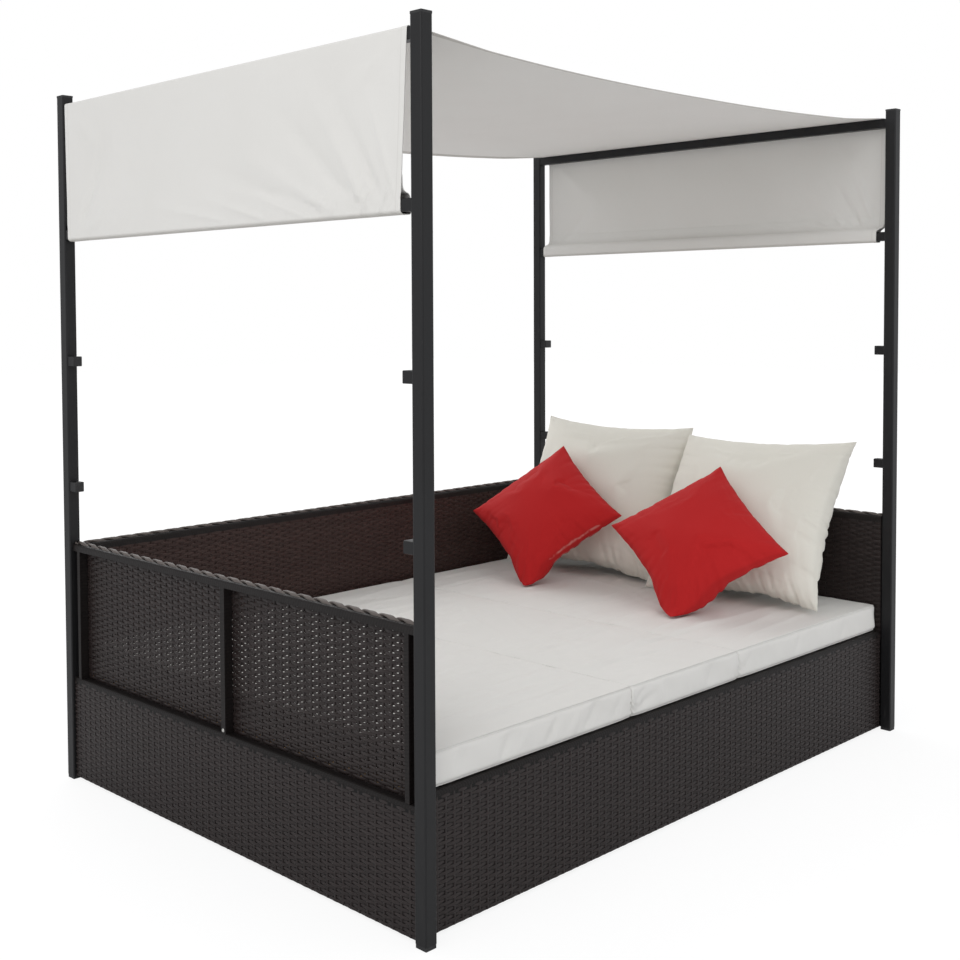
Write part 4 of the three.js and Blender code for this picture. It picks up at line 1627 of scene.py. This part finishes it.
    def _shape(
        self, unit: np.ndarray, low: Vector, high: Vector, number: int
    ) -> tuple[np.ndarray, np.ndarray]:
        """Rounds, crowns and creases a section.

        Args:
            unit: Lattice points from -1 to 1.
            low: The box's lowest corner.
            high: The box's highest corner.
            number: Which section, from the left.

        Returns:
            The points in the row frame, and their seam marks.
        """
        seed = 2.3 + 5.1 * number
        joints = (number > 0, number < 2)
        radii = tuple(self.joint_radius if joint else self.edge_radius for joint in joints)
        half = np.array(high - low) / 2
        middle = np.array(high + low) / 2
        half[2] -= self.crown / 2
        half[1] -= self.front_gap
        points = self._box(unit, half, radii)
        points[:, 0] += self.joint_closing * (points[:, 0] > 0) * joints[1]
        points[:, 0] -= self.joint_closing * (points[:, 0] < 0) * joints[0]
        u, v, w = unit.T
        free_end = np.where(u < 0, not joints[0], not joints[1])
        points[:, 0] -= np.sign(u) * (np.abs(u) > 0.999) * free_end * self.side_bulge * w * w
        points[:, 1] -= np.sign(v) * (np.abs(v) > 0.99) * self.side_bulge * w * w
        points[:, 1] -= v * self.corner_draw * np.abs(u) ** 16
        top = smoothstep(w, 0.55, 1.0)
        dome = (1 - np.abs(u) ** 8) * (1 - np.abs(v) ** 8)
        points[:, 2] += top * self.crown * dome - self.crown / 2
        world = points + middle
        points[:, 2] += self._wrinkles(world, seed) * top * dome
        points[:, 1] -= self._side_folds(unit, world, seed)
        for end in (-1, 1):
            if joints[0 if end < 0 else 1]:
                near = np.exp(-(1 - end * u) * half[0] / self.gather_reach)
                depth = self.deep_gather if (number, end) == (1, -1) else self.gather_depth
                points[:, 1] -= self._gathers(unit, world, end, seed) * near * depth
                dips = 0.5 + 0.5 * ripples(world, (1.0, 26.0, 1.0), seed + end, 2)
                points[:, 2] -= near * top * np.clip(dips, 0, 1) * self.joint_dip
        rim = (np.abs(u) > 0.999) | (np.abs(v) > 0.999)
        levels = (half[2] - self.seam_insets[0], self.seam_insets[1] - half[2])
        heights = [(points[:, 2] + self.crown / 2 - level) / self.seam_width for level in levels]
        return points + middle, np.maximum(*(np.exp(-(height**2)) for height in heights)) * rim

    def _wrinkles(self, world: np.ndarray, seed: float) -> np.ndarray:
        """Height of the top's wrinkles.

        Args:
            world: The points in the row frame.
            seed: Shifts the noise.

        Returns:
            One height for each point.
        """
        x, y = world[:, 0], world[:, 1]
        height = np.zeros(len(world))
        flow = np.stack([x * 0.30 + y * 0.10, y, 0 * x], -1)
        for scale, depth in self.top_wrinkles:
            ridge = 1 - np.abs(ripples(flow, scale, seed, 2)) * 5.0
            height += (np.maximum(ridge, 0) ** 2 - self.wrinkle_level) * depth
        across = np.stack([x * 1.2 - y * 0.5, y * 0.3, 0 * x], -1)
        ridge = 1 - np.abs(ripples(across, (4.0, 6.0, 1.0), seed + 8, 2)) * 6.0
        height += np.maximum(ridge, 0) ** 2 * self.cross_wrinkle
        return height - np.abs(ripples(world, (4.0, 4.0, 1.0), seed + 4, 2)) * self.hollow

    def _side_folds(self, unit: np.ndarray, world: np.ndarray, seed: float) -> np.ndarray:
        """How far the folds draw in the front and the back.

        Args:
            unit: Lattice points from -1 to 1.
            world: The points in the row frame.
            seed: Shifts the noise.

        Returns:
            One length along Y for each point.
        """
        _, v, w = unit.T
        lean = np.stack([world[:, 0] + 0.35 * world[:, 2], 0 * v, 0 * v], -1)
        folds = np.abs(ripples(lean, (11.0, 1.0, 1.0), seed, 2)) * self.side_fold
        creases = crease_sum(self.front_creases, world[:, 0], world[:, 2]) * self.crease_strength
        side = 1 - w * w
        return np.sign(v) * (np.abs(v) > 0.985) * side * folds + (v < -0.985) * side * creases

    @staticmethod
    def _gathers(unit: np.ndarray, world: np.ndarray, end: int, seed: float) -> np.ndarray:
        """Height of the small gathers beside a joint, on the front and the back.

        Args:
            unit: Lattice points from -1 to 1.
            world: The points in the row frame.
            end: Which end of the section: -1 or 1.
            seed: Shifts the waves.

        Returns:
            One number for each point.
        """
        u, v, w = unit.T
        waves = 0.5 + 0.5 * np.sin(world[:, 2] * 430 + 90 * (1 - end * u) + seed)
        low_half = 0.35 + 0.65 * smoothstep(-w, -0.4, 0.6)
        return np.sign(v) * (np.abs(v) > 0.985) * (1 - w * w) * waves * low_half

    def build(self) -> list[bpy.types.Object]:
        """Builds the three sections.

        Returns:
            The sections, from the left.
        """
        cloth = Cloth(
            "mattress_cloth", (0.765, 0.752, 0.722), (0.705, 0.690, 0.655), stitch=(0.6, 0.585, 0.55)
        )
        material = cloth.material()
        pieces = []
        for number, word in enumerate(("left", "middle", "right")):
            node = f"mattress_{word}"
            low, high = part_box(node)
            unit, quads = self._lattice(high - low)
            points, seam_and_shade = self._shape(unit, low, high, number)
            points[:, 2] = np.maximum(points[:, 2], low.z)
            builder = MeshBuilder()
            builder.add(points, quads, seam_and_shade=seam_and_shade)
            piece = builder.build(f"{node}_cover", material, node)
            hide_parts(node)
            pieces.append(piece)
        return pieces


# Cushions


@dataclass
class Cushion:
    """A knife-edge cushion: two square cloths sewn round their edge and filled."""

    node: str
    width: float
    height: float
    half_thickness: float
    draw_in: float
    placement: Matrix
    cells: int = 60
    seed: int = 1
    #: Share of the draw-in and depth of the puckers at each side, seen from the front.
    draws: dict[str, float] = field(default_factory=dict)
    puckers: dict[str, float] = field(default_factory=dict)
    #: Over how much height the corner that the cushion stands on is flattened, and how bluntly.
    corner_height: float = 0.0
    corner_bluntness: float = 3.2
    zipped: bool = False
    solver: dict[str, float] = field(
        default_factory=lambda: {
            "quality": 6,
            "mass": 0.2,
            "tension_stiffness": 40,
            "compression_stiffness": 40,
            "shear_stiffness": 12,
            "bending_stiffness": 0.35,
            "air_damping": 4,
        }
    )
    pressure: float = 9.0
    frames: int = 26
    #: How far the solver may move a point off the plain form, and the share of it sideways.
    reach: float = 0.009
    sideways: float = 0.25
    #: How far a pucker reaches in, and by how much that varies.
    pucker_length: float = 0.036
    pucker_spread: float = 0.030
    pucker_strength: float = 1.5
    corner_firmness: float = 0.88
    corner_fold: float = 0.009
    unevenness: float = 0.0015
    carrier_gap: float = 0.0006
    smoothed_gap: float = 0.0005
    seam_inset: float = 0.004
    seam_width: float = 0.003
    seam_strength: float = 0.6
    zip_inset: float = 0.0050
    zip_width: float = 0.0018

    def _fill(self, u: np.ndarray, v: np.ndarray) -> np.ndarray:
        """How full the cushion is between its seams."""
        swell = np.sqrt(np.maximum(0, (1 - u * u) * (1 - v * v)))
        return swell**0.8 * (0.88 + 0.12 * swell)

    def _grids(self) -> tuple[np.ndarray, np.ndarray, np.ndarray]:
        """The two cloths, sewn at their edges.

        Returns:
            (u, v) and the side of each point, and the quads.
        """
        n = self.cells
        line = np.linspace(-1, 1, n + 1)
        u, v = np.meshgrid(line, line, indexing="ij")
        rim = (np.abs(u) == 1) | (np.abs(v) == 1)
        front = np.arange((n + 1) ** 2).reshape(n + 1, n + 1)
        back = front.copy()
        inside = ~rim
        back[inside] = (n + 1) ** 2 + np.arange(inside.sum())
        uv = np.concatenate([np.stack([u.ravel(), v.ravel()], -1), np.stack([u[inside], v[inside]], -1)])
        side = np.concatenate([np.where(rim.ravel(), 0, 1), -np.ones(inside.sum())])
        one = np.stack([front[:-1, :-1], front[1:, :-1], front[1:, 1:], front[:-1, 1:]], -1)
        two = np.stack([back[:-1, :-1], back[:-1, 1:], back[1:, 1:], back[1:, :-1]], -1)
        return uv, side, np.concatenate([one.reshape(-1, 4), two.reshape(-1, 4)])

    def _formed(self, uv: np.ndarray, side: np.ndarray) -> np.ndarray:
        """The filled form in its own axes: x across, y out of the back, z up.

        Args:
            uv: Where each point lies on its cloth.
            side: Which cloth it belongs to.

        Returns:
            The points.
        """
        u, v = uv[:, 0], uv[:, 1]
        draw_u = self.draw_in * np.where(u < 0, self.draws.get("left", 1), self.draws.get("right", 1))
        draw_v = self.draw_in * np.where(v < 0, self.draws.get("bottom", 1), self.draws.get("top", 1))
        return np.stack(
            [
                u * (self.width / 2 - draw_u * (1 - v * v)),
                -side * self.half_thickness * self._fill(u, v),
                v * (self.height / 2 - draw_v * (1 - u * u)),
            ],
            -1,
        )

    def plain_form(self) -> np.ndarray:
        """The filled form's points, with no puckers or folds."""
        uv, side, _ = self._grids()
        return self._formed(uv, side)

    def _puckered(self, points: np.ndarray, uv: np.ndarray, side: np.ndarray) -> np.ndarray:
        """Adds the short folds that run in from the sewn sides.

        Args:
            points: The filled form in its own axes.
            uv: Where each point lies on its cloth.
            side: Which cloth it belongs to.

        Returns:
            The puckered form.
        """
        half_width, half_height = self.width / 2, self.height / 2
        u, v = uv[:, 0], uv[:, 1]
        sides = {
            "left": ((1 + u) * half_width, v * half_height, 0, 1.0),
            "right": ((1 - u) * half_width, v * half_height, 0, -1.0),
            "bottom": ((1 + v) * half_height, u * half_width, 2, 1.0),
            "top": ((1 - v) * half_height, u * half_width, 2, -1.0),
        }
        puckered = points.copy()
        for number, (word, (inward, along, axis, sign)) in enumerate(sides.items()):
            depth = self.puckers.get(word, 0.0)
            if not depth:
                continue
            slant = along + 0.25 * inward * np.sign(along)
            place = np.stack([slant, 0 * u, 0 * u + number], -1)
            seed = self.seed * 1.7 + number
            ridge = np.maximum(0, 1 - 4.0 * np.abs(ripples(place, (22.0, 1.0, 1.0), seed, 2)))
            length = self.pucker_length + self.pucker_spread * ripples(place, (7.0, 1.0, 1.0), seed + 5, 1)
            fade = np.clip(inward / 0.007, 0, 1) * np.exp(-inward / np.maximum(length, 0.012))
            ends = np.clip((half_width - np.abs(along)) / 0.05, 0.25, 1)
            puckered[:, 1] += side * depth * (ridge - 0.25) * fade * ends * self.pucker_strength
            wave = ripples(place, (26.0, 1.0, 1.0), seed + 9, 2)
            tuck = np.exp(-inward / 0.012) * depth * ends
            puckered[:, axis] += sign * tuck * (0.55 * np.abs(wave) + 0.35 * ridge)
        return puckered

    def _rested(self, points: np.ndarray) -> np.ndarray:
        """Flattens the corner that the cushion stands on, with folds running up from it.

        Args:
            points: The placed cushion.

        Returns:
            The cushion resting on a folded corner.
        """
        if not self.corner_height:
            return points
        rested = points.copy()
        low = points[:, 2].min()
        share = np.clip((points[:, 2] - low) / self.corner_height, 0, 1)
        rested[:, 2] = np.where(
            share < 1, low + self.corner_height * share**self.corner_bluntness, points[:, 2]
        )
        rested[:, 2] = rested[:, 2] * self.corner_firmness + points[:, 2] * (1 - self.corner_firmness)
        near = np.exp(-(points[:, 2] - low) / 0.045) * smoothstep(share, 0.02, 0.25)
        flow = np.stack([points[:, 1], points[:, 2] * 0.25, 0 * share], -1)
        ridge = np.maximum(0, 1 - 4 * np.abs(ripples(flow, (38.0, 9.0, 1.0), self.seed, 2)))
        rested[:, 0] -= near * (ridge - 0.3) * self.corner_fold
        return rested

    def _flat(self, uv: np.ndarray, side: np.ndarray) -> np.ndarray:
        """The two cloths laid nearly flat, with a little unevenness.

        Args:
            uv: Where each point lies on its cloth.
            side: Which cloth it belongs to.

        Returns:
            The points.
        """
        u, v = uv[:, 0], uv[:, 1]
        flat = np.stack([u * self.width / 2, 0 * u, v * self.height / 2], -1)
        uneven = ripples(flat, (11.0, 1.0, 11.0), self.seed * 3.7, 2)
        flat[:, 1] = -side * (0.25 * self.half_thickness * self._fill(u, v)) + uneven * self.unevenness
        return flat

    def _inflate(self, piece: bpy.types.Object) -> np.ndarray:
        """Fills the sewn cloths with Blender's cloth solver.

        Args:
            piece: The sewn cloths.

        Returns:
            The filled points.
        """
        cloth = piece.modifiers.new("filling", "CLOTH")
        settings = cloth.settings
        for name, value in self.solver.items():
            setattr(settings, name, value)
        settings.use_pressure = True
        settings.uniform_pressure_force = self.pressure
        settings.effector_weights.gravity = 0
        cloth.point_cache.frame_start = 1
        cloth.point_cache.frame_end = self.frames
        scene = bpy.context.scene
        for number in range(1, self.frames + 1):
            scene.frame_set(number)
        evaluated = piece.evaluated_get(bpy.context.evaluated_depsgraph_get())
        filled = points_of(evaluated)
        piece.modifiers.remove(cloth)
        scene.frame_set(1)
        return filled

    def _marks(self, uv: np.ndarray) -> dict[str, np.ndarray]:
        """Marks the cloths beside the sewn edge, and the pale zip just inside the bottom side.

        Args:
            uv: Where each point lies on its cloth.

        Returns:
            Numbers for each point, by the mark's name.
        """
        edge = ((1 - np.abs(uv)) * (self.width, self.height) / 2).min(1)
        seam_and_shade = np.exp(-(((edge - self.seam_inset) / self.seam_width) ** 2)) * self.seam_strength
        inward = (1 + uv[:, 1]) * self.height / 2
        line = np.exp(-(((inward - self.zip_inset) / self.zip_width) ** 2))
        span = smoothstep(-np.abs(uv[:, 0] - 0.1), -0.62, -0.45)
        return {"seam_and_shade": seam_and_shade, "zip": line * span * self.zipped}

    def build(self, material: bpy.types.Material, carriers: Iterable[bpy.types.Object]) -> bpy.types.Object:
        """Builds, fills and seats the cushion.

        Args:
            material: The cover's cloth.
            carriers: What it rests on and leans on.

        Returns:
            The cushion.
        """
        uv, side, quads = self._grids()
        formed = self._formed(uv, side)
        builder = MeshBuilder()
        builder.add(self._flat(uv, side), quads, **self._marks(uv))
        piece = builder.build(f"{self.node}_cover", material, self.node)
        filled = self._inflate(piece)
        spread = np.percentile(np.abs(filled[:, 1]), 99.5) / np.percentile(np.abs(formed[:, 1]), 99.5)
        filled[:, 1] /= max(spread, 0.2)
        offset = filled - formed
        reach = np.array((self.sideways, 1.0, self.sideways)) * self.reach
        shaped = formed + np.clip(offset, -reach, reach)
        shaped = self._puckered(shaped, uv, side)
        turned = shaped @ np.array(self.placement.to_3x3()).T + np.array(self.placement.translation)
        turned = keep_clear(self._rested(turned), carriers, self.carrier_gap)
        move_points(piece, turned)
        subdivide(piece, 1)
        move_points(piece, keep_clear(points_of(piece), carriers, self.smoothed_gap))
        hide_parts(self.node)
        return piece


def subdivide(piece: bpy.types.Object, levels: int) -> None:
    """Applies a smooth subdivision to a piece.

    Args:
        piece: The piece.
        levels: How often each face is divided.
    """
    modifier = piece.modifiers.new("smooth", "SUBSURF")
    modifier.levels = modifier.render_levels = levels
    evaluated = piece.evaluated_get(bpy.context.evaluated_depsgraph_get())
    mesh = bpy.data.meshes.new_from_object(evaluated)
    piece.modifiers.remove(modifier)
    old = piece.data
    piece.data = mesh
    bpy.data.meshes.remove(old)


@dataclass
class CushionSet:
    """Two large cushions against the right end and two small ones against them."""

    #: Width, height, half the thickness, and how far the sides are drawn in.
    cream_size: tuple[float, float, float, float] = (0.544, 0.526, 0.118, 0.028)
    red_size: tuple[float, float, float, float] = (0.370, 0.370, 0.080, 0.014)
    cream_turns: dict[str, tuple[float, float, float]] = field(
        default_factory=lambda: {"left": (7.0, 28.4, -1.6), "right": (3.5, 32.3, 1.3)}
    )
    red_turns: dict[str, tuple[float, float, float]] = field(
        default_factory=lambda: {"left": (12.0, 39.7, 48.5), "right": (18.3, 42.9, 39.6)}
    )

    #: Depth of the puckers at each side; the right cream has deeper ones on its right.
    cream_puckers: dict[str, float] = field(
        default_factory=lambda: {"left": 0.003, "right": 0.005, "bottom": 0.009, "top": 0.0025}
    )
    deep_pucker: float = 0.0095
    red_puckers: dict[str, float] = field(
        default_factory=lambda: {"left": 0.0045, "right": 0.0040, "bottom": 0.0060, "top": 0.0035}
    )
    #: Share of the draw-in that is left where the two creams meet.
    inner_draw: float = 0.15
    cream_corner: float = 0.022
    red_corners: dict[str, float] = field(default_factory=lambda: {"left": 0.064, "right": 0.084})

    @staticmethod
    def _turned(angles_deg: tuple[float, float, float]) -> Matrix:
        """Turns a cushion about the vertical, leans it back, and turns it in its own plane.

        Args:
            angles_deg: The three angles.

        Returns:
            The turn.
        """
        yaw, lean, spin = (math.radians(angle) for angle in angles_deg)
        return (
            Matrix.Rotation(yaw, 4, "Z")
            @ Matrix.Rotation(lean, 4, "Y")
            @ Matrix.Rotation(-spin, 4, "X")
            @ Matrix.Rotation(-math.pi / 2, 4, "Z")
        )

    def _seated(self, node: str, size: Sequence[float], angles: Sequence[float], **rest: object) -> Cushion:
        """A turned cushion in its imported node's box.

        Args:
            node: The cushion's node.
            size: The cushion's size.
            angles: Its turn.
            **rest: The cushion's other fields.

        Returns:
            The cushion.
        """
        turn = self._turned(angles)
        probe = Cushion(node, *size, Matrix(), cells=14)
        turned = probe.plain_form() @ np.array(turn.to_3x3()).T
        low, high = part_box(node)
        middle = (np.array(low + high) - turned.min(0) - turned.max(0)) / 2
        return Cushion(node, *size, Matrix.Translation(middle) @ turn, **rest)

    def _creams(self, mattress: Sequence[bpy.types.Object]) -> list[bpy.types.Object]:
        """Builds the two large cushions against the right upper panel.

        Args:
            mattress: The mattress's sections.

        Returns:
            The two cushions.
        """
        cloth = Cloth("cream_cloth", (0.80, 0.775, 0.700), (0.72, 0.695, 0.620), stitch=(0.5, 0.48, 0.42))
        cover = cloth.material()
        carriers = [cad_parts["upper_frame_right"], *mattress]
        pieces = []
        for number, (word, angles) in enumerate(self.cream_turns.items()):
            deeper = {"right": self.deep_pucker} if word == "right" else {}
            cushion = self._seated(
                f"cream_cushion_{word}",
                self.cream_size,
                angles,
                cells=80,
                seed=11 + number,
                draws={"right" if word == "left" else "left": self.inner_draw},
                puckers=self.cream_puckers | deeper,
                corner_height=self.cream_corner,
            )
            pieces.append(cushion.build(cover, carriers + pieces))
        return pieces

    def _reds(self, carriers: Sequence[bpy.types.Object]) -> list[bpy.types.Object]:
        """Builds the two small cushions.

        Args:
            carriers: What they rest on and lean on.

        Returns:
            The two cushions.
        """
        cloth = Cloth(
            "red_cloth",
            (0.535, 0.0175, 0.0185),
            (0.435, 0.0110, 0.0120),
            sheen=0.02,
            stitch=(0.24, 0.006, 0.008),
            zip_colour=(0.75, 0.42, 0.38),
        )
        cover = cloth.material()
        pieces = []
        for number, (word, angles) in enumerate(self.red_turns.items()):
            cushion = self._seated(
                f"red_cushion_{word}",
                self.red_size,
                angles,
                cells=64,
                seed=31 + number,
                puckers=self.red_puckers,
                corner_height=self.red_corners[word],
                zipped=word == "left",
            )
            pieces.append(cushion.build(cover, [*carriers, *pieces]))
        return pieces

    def build(self, mattress: Sequence[bpy.types.Object]) -> None:
        """Builds all four cushions in the order that they rest on each other."""
        self._reds([*mattress, *self._creams(mattress)])


# Studio


@dataclass(frozen=True)
class Lamp:
    """A square soft lamp that is aimed at a place."""

    name: str
    place: tuple[float, float, float]
    target: tuple[float, float, float]
    power: float
    size: float = 3.0

    def add(self) -> None:
        """Adds the lamp."""
        data = bpy.data.lights.new(self.name, "AREA")
        data.shape, data.size, data.energy = "SQUARE", self.size, self.power
        lamp = bpy.data.objects.new(self.name, data)
        lamp.location = self.place
        aim = Vector(self.target) - Vector(self.place)
        lamp.rotation_euler = aim.to_track_quat("-Z", "Y").to_euler()
        bpy.context.scene.collection.objects.link(lamp)


@dataclass
class Studio:
    """Camera at the photograph's angle, soft lamps, a pale floor and a white background."""

    camera_place: tuple[float, float, float] = (-2.681, -2.3585, 1.2058)
    azimuth_deg: float = 47.32
    elevation_deg: float = -2.37
    roll_deg: float = -0.43
    lens: float = 49.65
    shift: tuple[float, float] = (0.1243, -0.1214)
    sensor: float = 36.0
    farthest: float = 100.0
    floor_size: float = 40.0
    floor_drop: float = 0.0005
    glow: float = 0.80
    glow_strength: float = 1.08
    fade_at: float = 2.3
    sky: float = 0.80
    lamps: tuple[Lamp, ...] = (
        Lamp("key", (-3.8, -1.2, 3.0), (0.0, 0.0, 0.7), 36.5),
        Lamp("fill", (-0.4, -3.6, 4.4), (0.2, 0.0, 0.5), 18.0),
        Lamp("back", (1.0, 3.8, 3.2), (0.0, 0.0, 0.8), 62.0),
    )

    def add_camera(self) -> None:
        """Adds the camera."""
        azimuth, elevation, roll = (
            math.radians(a) for a in (self.azimuth_deg, self.elevation_deg, self.roll_deg)
        )
        ahead = Vector(
            (
                math.cos(elevation) * math.cos(azimuth),
                math.cos(elevation) * math.sin(azimuth),
                math.sin(elevation),
            )
        )
        right = Vector((math.sin(azimuth), -math.cos(azimuth), 0.0))
        up = right.cross(ahead)
        turned_right = math.cos(roll) * right + math.sin(roll) * up
        turned_up = -math.sin(roll) * right + math.cos(roll) * up
        data = bpy.data.cameras.new("camera")
        data.lens, data.sensor_width, data.sensor_fit = self.lens, self.sensor, "HORIZONTAL"
        data.shift_x, data.shift_y = self.shift
        data.clip_end = self.farthest
        camera = bpy.data.objects.new("camera", data)
        axes = Matrix((turned_right, turned_up, -ahead)).transposed()
        camera.matrix_world = Matrix.Translation(self.camera_place) @ axes.to_4x4()
        bpy.context.scene.collection.objects.link(camera)
        bpy.context.scene.camera = camera

    def add_background(self) -> None:
        """Adds a world that is white to camera and transmission rays, and plain for light."""
        shader = Shader("studio", world=True)
        bpy.context.scene.world = shader.owner
        seen = shader.node("ShaderNodeLightPath", output="Is Camera Ray").largest(
            shader.node("ShaderNodeLightPath", output="Is Transmission Ray")
        )
        shown = shader.node("ShaderNodeBackground", inputs={"Color": (1, 1, 1, 1)})
        lighting = shader.node(
            "ShaderNodeBackground", inputs={"Color": (0.97, 0.98, 1.0, 1), "Strength": self.sky}
        )
        shader.close(shader.node("ShaderNodeMixShader", inputs={0: seen, 1: lighting, 2: shown}))

    def add_floor(self) -> None:
        """Adds a pale floor that shows near white but keeps the shadow."""
        half = self.floor_size / 2
        ring = ((-half, -half), (half, -half), (half, half), (-half, half))
        mesh = bpy.data.meshes.new("floor")
        mesh.from_pydata([(x, y, -self.floor_drop) for x, y in ring], [], [(0, 1, 2, 3)])
        floor = bpy.data.objects.new("floor", mesh)
        bpy.context.scene.collection.objects.link(floor)
        shader = Shader("floor")
        grey = shader.mix(shader.cloud(3.0, 2.0) * 0.2, (0.86, 0.86, 0.86), (0.8, 0.8, 0.8))
        lit = shader.node("ShaderNodeBsdfDiffuse", inputs={"Color": grey})
        glow = shader.node(
            "ShaderNodeEmission", inputs={"Color": (1, 1, 1, 1), "Strength": self.glow_strength}
        )
        seen = shader.node("ShaderNodeLightPath", output="Is Camera Ray")
        reach = (shader.axis("X") ** 2 + shader.axis("Y") ** 2) ** 0.5
        share = reach.above(self.fade_at, self.fade_at - 1.0) * (1 - self.glow) + self.glow
        both = shader.node("ShaderNodeMixShader", inputs={0: seen * share, 1: lit, 2: glow})
        mesh.materials.append(shader.close(both))

    def build(self) -> None:
        """Sets up the whole studio."""
        bpy.context.scene.view_settings.view_transform = "Standard"
        self.add_camera()
        self.add_background()
        self.add_floor()
        for lamp in self.lamps:
            lamp.add()


def main() -> None:
    """Builds everything in order."""
    logging.basicConfig(level=logging.INFO, format="%(name)s: %(message)s")
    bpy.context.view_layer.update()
    Studio().build()
    framework = Framework()
    framework.dress()
    framework.build_screws()
    rattan = RattanWork()
    rattan.dress()
    strand = RattanStrand()
    # The back's strands are a redder copy whose extra lightness is painted sheen.
    back_strand_with_painted_sheen = RattanStrand((0.025, 0.0125, 0.0108), (0.058, 0.0330, 0.0285), shine=0.24)
    rattan.build_sheets(strand.material("open_weave"), back_strand_with_painted_sheen.material("open_weave_back"))
    rattan.build_skins(strand.material("base_weave"))
    # The bead's strands are much lighter than the others; the extra lightness is painted highlight along
    # the rails' tops.
    bead = RattanStrand((0.078, 0.064, 0.058), (0.135, 0.115, 0.105), 0.5, 0.3)
    rattan.build_beads(bead.material("rail_bead"))
    Canopy().build()
    sections = Mattress().build()
    CushionSet().build(sections)


if __name__ == "__main__":
    main()
